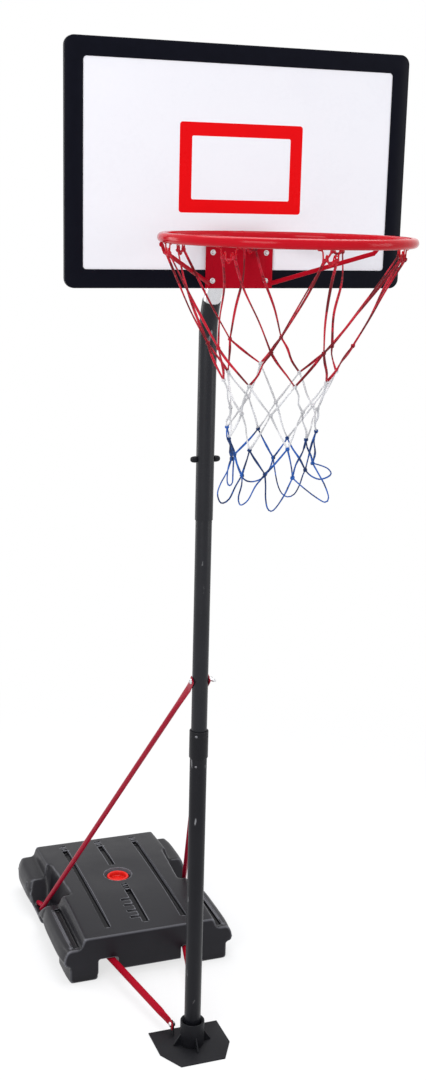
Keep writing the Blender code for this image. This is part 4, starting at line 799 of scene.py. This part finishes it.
brace_start = Vector((0.065, board_front - 0.0079, board_bottom + 0.01))
brace_end = ring_point(math.radians(16.5), height=ring_height - ring_tube - 0.004)
brace_run = brace_end - brace_start
ahead = Vector((brace_run.x, brace_run.y, 0)).normalized()
brace_knee = brace_start + brace_run * 0.95 - Vector((0, 0, 0.009))
corners = [brace_start, brace_start.lerp(brace_knee, 0.5), brace_start.lerp(brace_knee, 0.96), brace_knee,
           brace_knee.lerp(brace_end, 0.5), brace_end, brace_end + ahead * 0.006]
for side, name, node in ((-1, "ring_brace_left_bar", "ring_brace_left"),
                         (1, "ring_brace_right_bar", "ring_brace_right")):
    line = [mirrored(point, side) for point in smooth_line(corners, 0.004)]
    put(name, tube(line, (0.0044, 0.0027), 20, across=(0, 0, 1)), crimson, "upper", [node])


# Net hooks: eight pieces of 2.7 mm wire under the ring, each bent into a wave with two eyelets
# and welded on by its two feet.
hook_count, hook_turn, hook_inset = 8, math.radians(-4), 0.004
hook_top = ring_height - math.sqrt(ring_tube ** 2 - hook_inset ** 2) - 0.0015
half_wave = [(-0.0225, 0.0), (-0.018, -0.0003), (-0.015, -0.0022), (-0.014, -0.008), (-0.0134, -0.0145),
             (-0.0112, -0.019), (-0.009, -0.015), (-0.008, -0.0092), (-0.0066, -0.0086), (-0.0052, -0.014),
             (-0.0036, -0.0215), (0.0, -0.0258)]
wave = half_wave + [(-x, z) for x, z in half_wave[-2::-1]]
wire_work = tube(smooth_line([(x, 0.0, z) for x, z in wave], 0.0011), (0.00135, 0.00135), 10, across=(0, 1, 0))
for side in (-1, 1):
    bead = [(side * 0.024, 0.0, 0.0004), (side * 0.0225, 0.0, 0.0004), (side * 0.016, 0.0, 0.0002),
            (side * 0.0148, 0.0, -0.0004)]
    tube(bead, [(0.0008, 0.0008), (0.0022, 0.0019), (0.002, 0.0018), (0.001, 0.0008)], 10, across=(0, 1, 0),
         work=wire_work)


def ring_points(tree, given):
    """Points evenly round the ring, each copy with its face outwards."""
    circle = made(tree, "GeometryNodeMeshCircle", {"Vertices": given["Count"], "Radius": given["Radius"]})
    each = calc(tree, "DIVIDE", 2 * math.pi, given["Count"])
    spin = calc(tree, "MULTIPLY_ADD", made(tree, "GeometryNodeInputIndex"), each, given["Turn"])
    face_out = made(tree, "ShaderNodeCombineXYZ", {"Z": calc(tree, "SUBTRACT", spin, math.pi / 2)})
    whole_turn = made(tree, "ShaderNodeCombineXYZ", {"Z": given["Turn"]})
    centre = made(tree, "ShaderNodeCombineXYZ", {"Y": given["Back"], "Z": given["Height"]})
    moved = made(tree, "GeometryNodeTransform",
                 {"Geometry": circle, "Rotation": whole_turn, "Translation": centre})
    return moved, face_out


hook_inputs = {"Count": "Int", "Radius": "Float", "Height": "Float", "Back": "Float", "Turn": "Float"}
hook_copies = copying_tree("Hooks round the ring", hook_inputs, ring_points)
hook_mesh = grown("hooks", wire_work, bpy.data.meshes.new("hooks"), hook_copies,
                  {"Count": hook_count, "Radius": ring_radius - hook_inset, "Height": hook_top,
                   "Back": ring_y, "Turn": hook_turn, "Finish": ring_paint})
dress("net_hook_wires", hook_mesh, ring_paint, "upper", [f"net_hook_{number}" for number in range(1, 9)])


# Net: braided cord knotted into diamonds, red above, white in the middle and blue below, hung
# through the hooks' eyelets. Its last row is loose loops.
lay, given, result = new_group("Cord lay", [("Turns", 260.0)], [("Shade", "Float"), ("Height", "Float")])
uv_axes = add(lay, "ShaderNodeSeparateXYZ", {0: made(lay, "ShaderNodeUVMap", uv_map="UVMap")}).outputs
along = calc(lay, "MULTIPLY", uv_axes["X"], given["Turns"])
waves = []
for hand in (1.0, -1.0):
    phase = calc(lay, "MULTIPLY_ADD", uv_axes["Y"], hand * 4.0, along)
    waves.append(calc(lay, "ABSOLUTE", calc(lay, "SINE", calc(lay, "MULTIPLY", phase, math.pi))))
braid = calc(lay, "MAXIMUM", *waves)
fuzz = noise(lay, 900.0, 3.0)
lay.links.new(calc(lay, "MULTIPLY", braid, calc(lay, "MULTIPLY_ADD", fuzz, 0.6, 0.6)), result["Shade"])
lay.links.new(calc(lay, "MULTIPLY_ADD", fuzz, 0.25, braid), result["Height"])


def cord_material(name, hollow_colour, crown_colour, painted_shade_depth):
    """Braided polyester with a soft sheen, painted darker between the strands and in random lengths, as shade.
    """
    material, tree, shader = new_material(name)
    braided = grouped(tree, lay, Turns=260.0)
    # Painted shade: random lengths of each cord are darkened, and so are the hollows between its strands.
    shaded_lengths = ranged(tree, grouped(tree, mottle, Size=24.0)["Shade"], 0.46, 0.54, 0.0, painted_shade_depth)
    clean = mix_colour(tree, braided["Shade"], hollow_colour, crown_colour)
    bump = made(tree, "ShaderNodeBump", {"Strength": 0.6, "Distance": 0.0004, "Height": braided["Height"]})
    feed(tree, shader, {"Base Color": mix_colour(tree, shaded_lengths, clean, [part * 0.22 for part in hollow_colour]),
                        "Roughness": ranged(tree, braided["Shade"], 0.0, 1.0, 0.85, 0.55), "Normal": bump,
                        "Specular IOR Level": 0.15, "Sheen Weight": 0.1, "Sheen Roughness": 0.5})
    return material


chance = random.Random(11)
net_knots = (                     # to the right, back and up from the ring's centre, in millimetres
    ((121, 49, -199), (48, 128, -190), (-58, 129, -192), (-125, 68, -192), (-138, -23, -192), (-72, -113, -192),
     (23, -128, -192), (109, -67, -186)),
    ((71, 86, -253), (2, 118, -238), (-76, 87, -249), (-111, 18, -255), (-93, -66, -256), (-21, -106, -254),
     (50, -85, -250), (111, 4, -242)),
    ((83, 43, -312), (27, 93, -311), (-30, 94, -299), (-85, 46, -311), (-89, -23, -313), (-53, -75, -309),
     (7, -82, -304), (58, -34, -306)),
    ((46, 75, -379), (-6, 99, -363), (-78, 80, -354), (-100, 11, -364), (-81, -47, -377), (-20, -81, -371),
     (27, -57, -359), (80, 16, -357)),
    ((69, 35, -436), (22, 85, -419), (-55, 96, -411), (-80, 45, -409), (-83, -18, -429), (-55, -62, -420),
     (-4, -72, -427), (53, -33, -409)),
)
net_loops = (                     # the loose loop from each knot of the last row to the next
    ((66, 39, -447), (61, 42, -467), (52, 45, -485), (41, 52, -491), (32, 60, -485), (26, 69, -467),
     (23, 80, -436)),
    ((17, 85, -436), (7, 86, -454), (-6, 89, -463), (-21, 92, -466), (-34, 95, -461), (-44, 97, -444),
     (-51, 99, -423)),
    ((-60, 87, -427), (-64, 78, -445), (-68, 69, -461), (-76, 63, -465), (-82, 60, -458), (-83, 57, -435),
     (-81, 52, -417)),
    ((-93, 32, -430), (-110, 21, -451), (-120, 10, -467), (-120, -1, -480), (-116, -10, -482),
     (-106, -16, -473), (-95, -17, -450)),
    ((-88, -31, -444), (-98, -42, -464), (-100, -51, -474), (-98, -59, -476), (-87, -63, -466),
     (-74, -63, -442), (-64, -63, -430)),
    ((-57, -72, -439), (-60, -81, -460), (-59, -88, -477), (-53, -92, -483), (-43, -91, -477), (-26, -87, -456),
     (-13, -80, -437)),
    ((3, -76, -434), (15, -83, -445), (34, -90, -460), (53, -95, -471), (63, -89, -464), (62, -72, -444),
     (57, -52, -425)),
    ((72, -28, -415), (90, -22, -423), (100, -17, -434), (97, -7, -443), (86, 5, -449), (75, 18, -445),
     (70, 28, -439)),
)


def hung(place):
    """Place in the net, given from the ring's centre in millimetres."""
    return Vector((place[0] / 1000, ring_y + place[1] / 1000, ring_height + place[2] / 1000))


def knot(row, index):
    """Place of a knot: rows lie by turns between and under the hooks."""
    return hung(net_knots[row][index % hook_count])


def cord(work, corners, sizes, step=0.009):
    """Flat cord through these places, turning slowly about itself."""
    line = smooth_line(corners, step)
    start, turns = chance.uniform(0, math.pi), chance.uniform(0.5, 1.2)
    across = []
    for index, point in enumerate(line):
        ahead = (line[min(index + 1, len(line) - 1)] - line[max(index - 1, 0)]).normalized()
        side = ahead.cross(Vector((0.31, 0.17, 0.94))).normalized()
        across.append(Matrix.Rotation(start + math.pi * turns * index / len(line), 3, ahead) @ side)
    tube(line, sizes, 8, across=across, work=work)


def strand(work, first, last, slack, sizes, crooked=0.0035):
    """One cord between two places, a little crooked, sagging by its slack."""
    run = last - first
    side = run.cross(Vector((0, 0, 1))).normalized()
    corners = [first]
    for share in (0.3, 0.65):
        wander = side * chance.uniform(-crooked, crooked)
        corners.append(first + run * share + wander - Vector((0, 0, slack * (1 - abs(2 * share - 1)))))
    cord(work, corners + [last], sizes)


def eyelet(index, side):
    """Bottom of a hook's eyelet, before and after the hook's middle."""
    angle = hook_turn + 2 * math.pi * index / hook_count
    tangent = Vector((-math.sin(angle), math.cos(angle), 0))
    return ring_point(angle, ring_radius - hook_inset, hook_top - 0.0166) + tangent * side * 0.0112


def knot_model(turns, radius, pitch, thick):
    """Cord wound round the crossing, drawn tight."""
    line = []
    steps = int(turns * 14)
    for step in range(steps + 1):
        angle = 2 * math.pi * turns * step / steps
        reach = radius * (0.75 + 0.25 * math.sin(math.pi * step / steps))
        line.append((reach * math.cos(angle), reach * math.sin(angle), pitch * turns * (step / steps - 0.5)))
    return tube(line, (thick, thick), 8)


def net_piece(name, work, knots, material, node):
    """Joins the cords of one colour with its knots."""
    spots = [(place, (chance.uniform(-0.5, 0.5), chance.uniform(-0.5, 0.5), 1.0)) for place in knots]
    work.from_mesh(copied(name, knot_model(2.2, 0.0029, 0.0024, 0.0015), spots, material))
    put(name, work, material, "upper", [node], 80)


cord_red = cord_material("Red cord", (0.25, 0.002, 0.009), (0.58, 0.012, 0.034), 0.8)
cord_white = cord_material("White cord", (0.56, 0.56, 0.57), (0.78, 0.78, 0.8), 0.35)
cord_blue = cord_material("Blue cord", (0.01, 0.045, 0.2), (0.022, 0.13, 0.5), 0.85)

red_work = bmesh.new()
red_knots = []
red_size, white_size = (0.0026, 0.0015), (0.0021, 0.0014)
blue_size, loop_size = (0.0022, 0.0014), (0.0016, 0.0013)
for index in range(hook_count):
    left, right_eye = eyelet(index, -1), eyelet(index, 1)
    middle = (left + right_eye) / 2 - Vector((0, 0, 0.004))
    cord(red_work, [left + Vector((0, 0, 0.001)), middle, right_eye + Vector((0, 0, 0.001))], red_size, 0.003)
    strand(red_work, left, knot(0, index - 1), 0.004, red_size, 0.006)
    strand(red_work, right_eye, knot(0, index), 0.004, red_size, 0.006)
    red_knots += [left, right_eye]
for index in range(hook_count):
    for after in (0, 1):
        strand(red_work, knot(0, index), knot(1, index - 1 + after), 0.002, red_size)
    red_knots.append(knot(0, index))
net_piece("net_red_cords", red_work, red_knots, cord_red, "net_red")

white_work = bmesh.new()
white_knots = []
for index in range(hook_count):
    for after in (0, 1):
        strand(white_work, knot(1, index), knot(2, index + after), 0.002, white_size)
        strand(white_work, knot(2, index), knot(3, index - 1 + after), 0.002, white_size)
    white_knots += [knot(1, index), knot(2, index)]
net_piece("net_white_cords", white_work, white_knots, cord_white, "net_white")

blue_work = bmesh.new()
blue_knots = []
for index, loop in enumerate(net_loops):
    for after in (0, 1):
        strand(blue_work, knot(3, index), knot(4, index + after), 0.002, blue_size)
    blue_knots += [knot(3, index), knot(4, index)]
    cord(blue_work, [knot(4, index), *map(hung, loop), knot(4, index + 1)], loop_size, 0.006)
net_piece("net_blue_cords", blue_work, blue_knots, cord_blue, "net_blue")


# Tank braces: slim crimson tubes, flattened where one bolt with a wing nut holds them to the mid
# pole, bent at the foot and pushed into the tank's rear blocks.
# Painted shade: the plate's crimson made darker for the tank braces, which stand in less light.
shaded_crimson = surface("Crimson paint, painted darker", (0.275, 0.0028, 0.017), (0.35, 0.005, 0.027), (0.24, 0.38), 30.0,
                      0.12, (0.42, 0.05, 0.07), 0.0008, 0.6, shine=0.1)


def smooth_step(share):
    """Share from 0 to 1 that starts and ends gently."""
    share = max(0.0, min(1.0, share))
    return share * share * (3 - 2 * share)


pressed = 0.0016                  # half the thickness of a tube's end where it is pressed flat
brace_foot = Vector((0.206, 0.671, 0.0515))
brace_toe = Vector((0.213, 0.727, 0.0365))
tab_half, brace_half, tab_fade = 0.0106, 0.0065, 0.09
tab_x = inner_radius + gap + pressed
brace_top = Vector((tab_x, 0.0, 0.927))
tab_end = Vector((tab_x, 0.02, 0.903))
corners = [Vector((tab_x, -0.0045, 0.9325)), brace_top, tab_end, tab_end.lerp(brace_foot, 0.045),
           tab_end.lerp(brace_foot, 0.5), tab_end.lerp(brace_foot, 0.975), brace_foot.lerp(brace_toe, 0.04),
           brace_foot.lerp(brace_toe, 0.2), brace_toe]
for side, name, node in ((-1, "brace_left_tube", "tank_brace_left"),
                         (1, "brace_right_tube", "tank_brace_right")):
    line, sizes = [], [(0.0076, 0.0014)]
    for point in smooth_line(corners, 0.006):
        line.append(mirrored(point, side))
        fallen = smooth_step((tab_end.z - point.z) / tab_fade)
        sizes.append((tab_half + (brace_half - tab_half) * fallen, pressed + (brace_half - pressed) * fallen))
    line.insert(0, line[0] + (line[0] - line[1]) * 0.3)
    put(name, tube(line, sizes, 28, across=(0, 0.75, 0.66)), shaded_crimson, "base", [node])
brace_face = tab_x + pressed + gap
fixings("brace_bolt_pan", pan_screw(0.0063, 0.0036, 0.003, brace_face * 2 + 0.013),
        [((-brace_face, 0, brace_top.z), (-1, 0, 0))], zinc, "base", ["brace_bolt"])
put("wing_nut", refined("brace_wing_nut", 0.0005, 3), zinc, "base", ["brace_wing_nut"])


# Lower bars: bright crimson 18 mm tubes from the foot plate's lugs back under the tank, both
# ends pressed flat and bolted.
bar_red = surface("Bright crimson paint", (0.29, 0.0025, 0.012), (0.39, 0.004, 0.018), (0.34, 0.48), 26.0,
                  0.12, (0.5, 0.06, 0.08), 0.0008, 0.7, shine=0.04)
lug_face, foot_y, foot_z = 0.0335 + 0.0015, 0.049, 0.029
bar_x, bar_half = lug_face + gap + pressed, 0.009
tank_bolt = Vector((0.1135, 0.42, 0.06 - gap - pressed))
bar_shoulder = Vector((bar_x + 0.004, 0.072, 0.032))
bar_tail = tank_bolt - Vector((0, 0.016, 0))
bar_back = bar_shoulder.lerp(bar_tail, 0.9)
bar_back.z = tank_bolt.z - bar_half * 0.92
bar_front = bar_shoulder.lerp(bar_tail, 0.1)
round_size, flat_size, end_size = (bar_half, bar_half), (0.012, pressed), (0.0105, pressed)
bar_stations = [                  # place, half sizes and the way of the wide side
    ((bar_x, 0.039, 0.0255), end_size, (0, 0, 1)), ((bar_x, foot_y, foot_z), flat_size, (0, 0, 1)),
    ((bar_x, 0.058, 0.03), flat_size, (0, 0, 1)), (bar_shoulder, (0.0115, 0.004), (0, 0, 1)),
    (bar_front, round_size, (0, 0, 1)), (bar_front.lerp(bar_back, 0.5), round_size, (0.3, 0, 0.9)),
    (bar_back, round_size, (0.8, 0, 0.5)), (bar_tail, flat_size, (1, 0, 0)),
    (tank_bolt, flat_size, (1, 0, 0)), (tank_bolt + Vector((0.002, 0.012, 0)), end_size, (1, 0, 0))]
for side, name, node in ((-1, "bar_left_tube", "lower_bar_left"), (1, "bar_right_tube", "lower_bar_right")):
    line, sizes, ways = [], [], []
    for (near_spot, near_size, near_way), (far_spot, far_size, far_way) in zip(bar_stations, bar_stations[1:]):
        for part in range(8):
            ease = smooth_step(part / 8)
            line.append(mirrored(Vector(near_spot).lerp(Vector(far_spot), part / 8), side))
            sizes.append(tuple(x + (y - x) * ease for x, y in zip(near_size, far_size)))
            ways.append(mirrored(Vector(near_way).lerp(Vector(far_way), ease), side))
    put(name, tube(line, sizes, 32, across=ways), bar_red, "base", [node])
lug_outside = bar_x + pressed + gap
fixings("foot_bar_bolts", pan_screw(0.0066, 0.004, 0.003, 0.0118),
        [((side * lug_outside, foot_y, foot_z), (side, 0, 0)) for side in (-1, 1)], zinc, "base",
        ["foot_bar_bolt_left", "foot_bar_bolt_right"])
fixings("foot_bar_nuts", hexagon_nut(0.0095, 0.0038, 0.0031),
        [((side * 0.0317, foot_y, foot_z), (-side, 0, 0)) for side in (-1, 1)], zinc, "base",
        ["foot_bar_nut_left", "foot_bar_nut_right"])
fixings("tank_bar_screws", pan_screw(0.0066, 0.0036, 0.003, 0.014),
        [((side * tank_bolt.x, tank_bolt.y, 0.0562), (0, 0, -1)) for side in (-1, 1)], zinc, "base",
        ["tank_bar_screw_left", "tank_bar_screw_right"])


# Water tank: blow-moulded black polyethylene, soft at every edge. A grooved and arched deck
# slopes to lower shoulders, each side has a deep notch for a brace, and four feet carry it.
tank_front, tank_back, tank_top, shoulder_top, tank_floor = 0.3375, 0.891, 0.123, 0.096, 0.021
well_y, well_radius = 0.643, 0.0389


def soft_block(low, high, radius, segments=4):
    """Box object with rounded edges."""
    work = bmesh.new()
    bmesh.ops.create_cube(work, size=1.0)
    for vert in work.verts:
        vert.co = [a + (b - a) * (c + 0.5) for a, b, c in zip(low, high, vert.co)]
    rounded(work, work.edges[:], radius, segments)
    return loose(work)


def side_block(side, near_x, far_x, low, high, radius, segments=4):
    """Soft block on one side of the middle; low and high are (y, z)."""
    left, right_side = sorted((side * near_x, side * far_x))
    return soft_block((left, *low), (right_side, *high), radius, segments)


def combined(base, tools, operation):
    """Joins the tools to the base or cuts them from it, and removes them."""
    for tool in tools:
        step = base.modifiers.new("Step", "BOOLEAN")
        step.operation, step.solver, step.object = operation, "EXACT", tool
    base.data = applied(base)
    base.modifiers.clear()
    for tool in tools:
        bpy.data.objects.remove(tool)
    return base


def prism(outline, low, high):
    """Block with a mirrored outline of (x, z) run from low to high in y."""
    whole = outline + [(-x, z) for x, z in reversed(outline)]
    return loose(standing(bmesh.new(), whole, low, high))


def wedge(corners, radius):
    """Block between any corners, with rounded edges."""
    work = bmesh.new()
    for corner in corners:
        work.verts.new(corner)
    bmesh.ops.convex_hull(work, input=work.verts[:])
    bmesh.ops.dissolve_limit(work, angle_limit=math.radians(2), verts=work.verts[:], edges=work.edges[:])
    rounded(work, work.edges[:], radius, 4)
    return loose(work)


upper_side = [(0.2265, 0.08), (0.2215, 0.091), (0.215, 0.0957), (0.1895, 0.096), (0.1855, 0.0985),
              (0.18, 0.116), (0.1765, 0.1215), (0.171, 0.123)]
tank = prism([(0.187, tank_floor), (0.1905, 0.026), (0.1915, 0.044), (0.195, 0.048), (0.217, 0.0485),
              (0.2275, 0.0525), (0.2305, 0.064)] + upper_side, tank_front, 0.66)
blocks = [prism([(0.214, tank_floor), (0.2245, 0.029), (0.23, 0.045), (0.2305, 0.064)] + upper_side,
                0.618, tank_back)]
notches, ribs = [], []
for side in (-1, 1):
    for low, high in ((tank_front + 0.0005, tank_front + 0.112), (tank_back - 0.112, tank_back - 0.002)):
        blocks.append(side_block(side, 0.14, 0.215, (low, 0.0), (high, 0.06), 0.006))
    notches.append(wedge([mirrored(corner, side) for corner in (
        (0.173, 0.645, 0.036), (0.26, 0.645, 0.036), (0.18, 0.712, 0.036), (0.26, 0.712, 0.036),
        (0.148, 0.546, 0.14), (0.26, 0.546, 0.14), (0.164, 0.772, 0.14), (0.26, 0.772, 0.14))], 0.01))
    ribs.append(wedge([mirrored(corner, side) for corner in (
        (0.163, 0.748, 0.114), (0.176, 0.742, 0.104), (0.163, 0.775, 0.114), (0.176, 0.775, 0.104),
        (0.17, 0.722, 0.03), (0.192, 0.716, 0.03), (0.17, 0.77, 0.03), (0.192, 0.77, 0.03))], 0.006))
tank = combined(tank, blocks, "UNION")
tank = combined(tank, notches, "DIFFERENCE")
tank = combined(tank, ribs, "UNION")
skin = tank.modifiers.new("Skin", "REMESH")
skin.mode = "VOXEL"
skin.voxel_size = 0.0032
ease = tank.modifiers.new("Ease", "SMOOTH")
ease.factor, ease.iterations = 0.5, 7
soft_mesh = applied(tank)
tank.modifiers.clear()
side_start, side_depth, swell, hollow = 0.186, 0.041, 0.006, 0.008
for vert in soft_mesh.vertices:            # the sides swell between the block's ends
    x, y = vert.co.xy
    low, high = (tank_front, 0.59) if y < 0.655 else (0.73, tank_back)
    along = max(-1.0, min(1.0, (2 * y - low - high) / (high - low)))
    reach = max(0.0, (abs(x) - side_start) / side_depth)
    vert.co.x += math.copysign((swell - hollow * along ** 4) * reach, x)
tank.data = soft_mesh

cutters = []
groove_half, groove_depth, rib_pitch, rib_count = 0.0085, 0.0105, 0.012, 3
for x, low, high in ((-0.105, 0.376, 0.868), (0.105, 0.376, 0.868), (0.0, 0.376, 0.585), (0.0, 0.701, 0.868)):
    left, right_side, above = x - groove_half, x + groove_half, tank_top + 0.03
    plain_end = high - rib_count * rib_pitch
    cutters.append(soft_block((left, low, tank_top - groove_depth), (right_side, plain_end, above), 0.0032, 3))
    for number in range(rib_count):
        near_y = plain_end + number * rib_pitch + 0.0045
        cutters.append(soft_block((left, near_y, tank_top - groove_depth * 0.75),
                                  (right_side, near_y + 0.0075, above), 0.0018, 2))
for number in range(4):
    rung = 0.4 + 0.03 * number
    cutters.append(soft_block((-0.034, rung, tank_top - 0.0045), (-0.0045, rung + 0.012, tank_top + 0.02),
                              0.003, 3))
under = (tank_front - 0.03, -0.03)
for side in (-1, 1):
    cutters.append(side_block(side, 0.086, 0.14, under, (0.46, 0.06), 0.006, 3))
    for first, last, depth in ((0.188, 0.204, 0.0075), (0.2085, 0.2108, 0.0012)):
        cutters.append(side_block(side, first, last, (tank_front + 0.012, shoulder_top - depth),
                                  (0.562, shoulder_top + 0.02), depth * 0.45, 3))
    cutters.append(side_block(side, 0.231, 0.245, (0.764, 0.03), (0.77, 0.08), 0.0025, 3))
    socket = [mirrored(brace_foot.lerp(brace_toe, share), side) for share in (0.6, 1.02)]
    cutters.append(loose(tube(socket, (0.0066, 0.0066), 32)))
well = (0, well_y, tank_top)
cutters.append(loose(lathe([(0.0, -0.005), (0.0362, -0.005), (0.0386, -0.003), (0.0392, 0.0), (0.041, 0.02),
                            (0.0, 0.02)], 96, well)))
cavity = soft_block((-0.14, tank_front + 0.005, tank_floor + 0.005), (0.14, tank_back - 0.005, 0.1075),
                    0.004, 2)
keep = [side_block(side, 0.081, 0.16, under, (0.464, 0.064), 0.004, 2) for side in (-1, 1)]
cavity = combined(cavity, keep, "DIFFERENCE")
neck_hole = loose(lathe([(0.0, -0.04), (0.036, -0.04), (0.036, -0.013), (0.021, -0.013), (0.021, -0.0095),
                         (0.023, -0.009), (0.0242, -0.004), (0.0242, 0.01), (0.0, 0.01)], 64, well))
cutters += [cavity, neck_hole]
tank = combined(tank, [combined(cutters[0], cutters[1:], "UNION")], "DIFFERENCE")
tank_mesh = tank.data
bpy.data.objects.remove(tank)
crown, arch_start, arch_fade, well_reach, well_share = 0.0105, 0.098, 0.012, 0.055, 0.25
for vert in tank_mesh.vertices:            # the deck is arched from front to back, less at the cap's well
    x, y, z = vert.co
    from_well = math.hypot(x, y - well_y) - well_radius
    if z > arch_start and from_well > 0:
        along = (2 * y - tank_front - tank_back) / (tank_back - tank_front)
        sunk = 1 - well_share * math.exp(-(from_well / well_reach) ** 2)
        vert.co.z += crown * (1 - along * along) * sunk * min(1.0, (z - arch_start) / arch_fade)
tank_mesh.materials.clear()
# The tank's pale edge colour is a painted highlight along its soft edges, broken into patches.
tank_plastic = surface("Tank polyethylene", (0.0045, 0.0043, 0.0066), (0.0112, 0.0108, 0.0146), (0.28, 0.44),
                       22.0, 0.3, (0.17, 0.17, 0.19), 0.0018, 0.85, shine=0.215)


def painted_hollow_shade(material, distance, colour):
    """Paints shade into a material's hollows: darker where less open air is near."""
    tree = material.node_tree
    open_air = add(tree, "ShaderNodeAmbientOcclusion", {"Distance": distance}, samples=8).outputs["AO"]
    repaint(material, calc(tree, "SUBTRACT", 1.0, open_air), colour)


# Painted shade: the tank's grooves, notches and corners are darkened towards near-black.
painted_hollow_shade(tank_plastic, 0.024, (0.0008, 0.0008, 0.001))
# Painted highlight: a pale line along the tank's sharper edges and crests.
painted_glint_crest = add(tank_plastic.node_tree, "ShaderNodeNewGeometry").outputs["Pointiness"]
repaint(tank_plastic, ranged(tank_plastic.node_tree, painted_glint_crest, 0.515, 0.56, 0.0, 0.7), (0.21, 0.21, 0.235))
dress("tank_shell", tank_mesh, tank_plastic, "base", ["water_tank"], 44)


# Filler cap: orange-red screw plug with a dished top and a bright raised ring, set down in the
# deck's round well.
cap_profile = [(0.0, -0.0082), (0.0185, -0.008), (0.0212, -0.0068), (0.0232, 0.001), (0.0242, 0.0034),
               (0.0284, 0.0036), (0.0303, 0.0022), (0.031, 0.0), (0.031, -0.0047), (0.0236, -0.0047),
               (0.0226, -0.0086), (0.0204, -0.0092), (0.0204, -0.0167), (0.0182, -0.0167), (0.0182, -0.0106),
               (0.0, -0.0106)]


def gripped(angle, radius, height):
    """Fine grip ribs round the cap's skirt."""
    if height < -0.0046 or height > 0.001:
        return radius
    return radius * (1.0 - 0.012 * (0.5 + 0.5 * math.cos(36 * angle)))


cap_plastic = surface("Cap plastic", (0.6, 0.01, 0.006), (0.72, 0.017, 0.01), (0.24, 0.38), 60.0, 0.15,
                      (0.95, 0.17, 0.11), 0.0012, 0.8, shine=0.14)
# Painted shade in the cap's dish and under its raised ring.
painted_hollow_shade(cap_plastic, 0.012, (0.06, 0.0005, 0.001))
put("filler_cap_plug", lathe(eased(cap_profile, 0.0007), 216, well, shape=gripped), cap_plastic,
    "cap", ["filler_cap"])
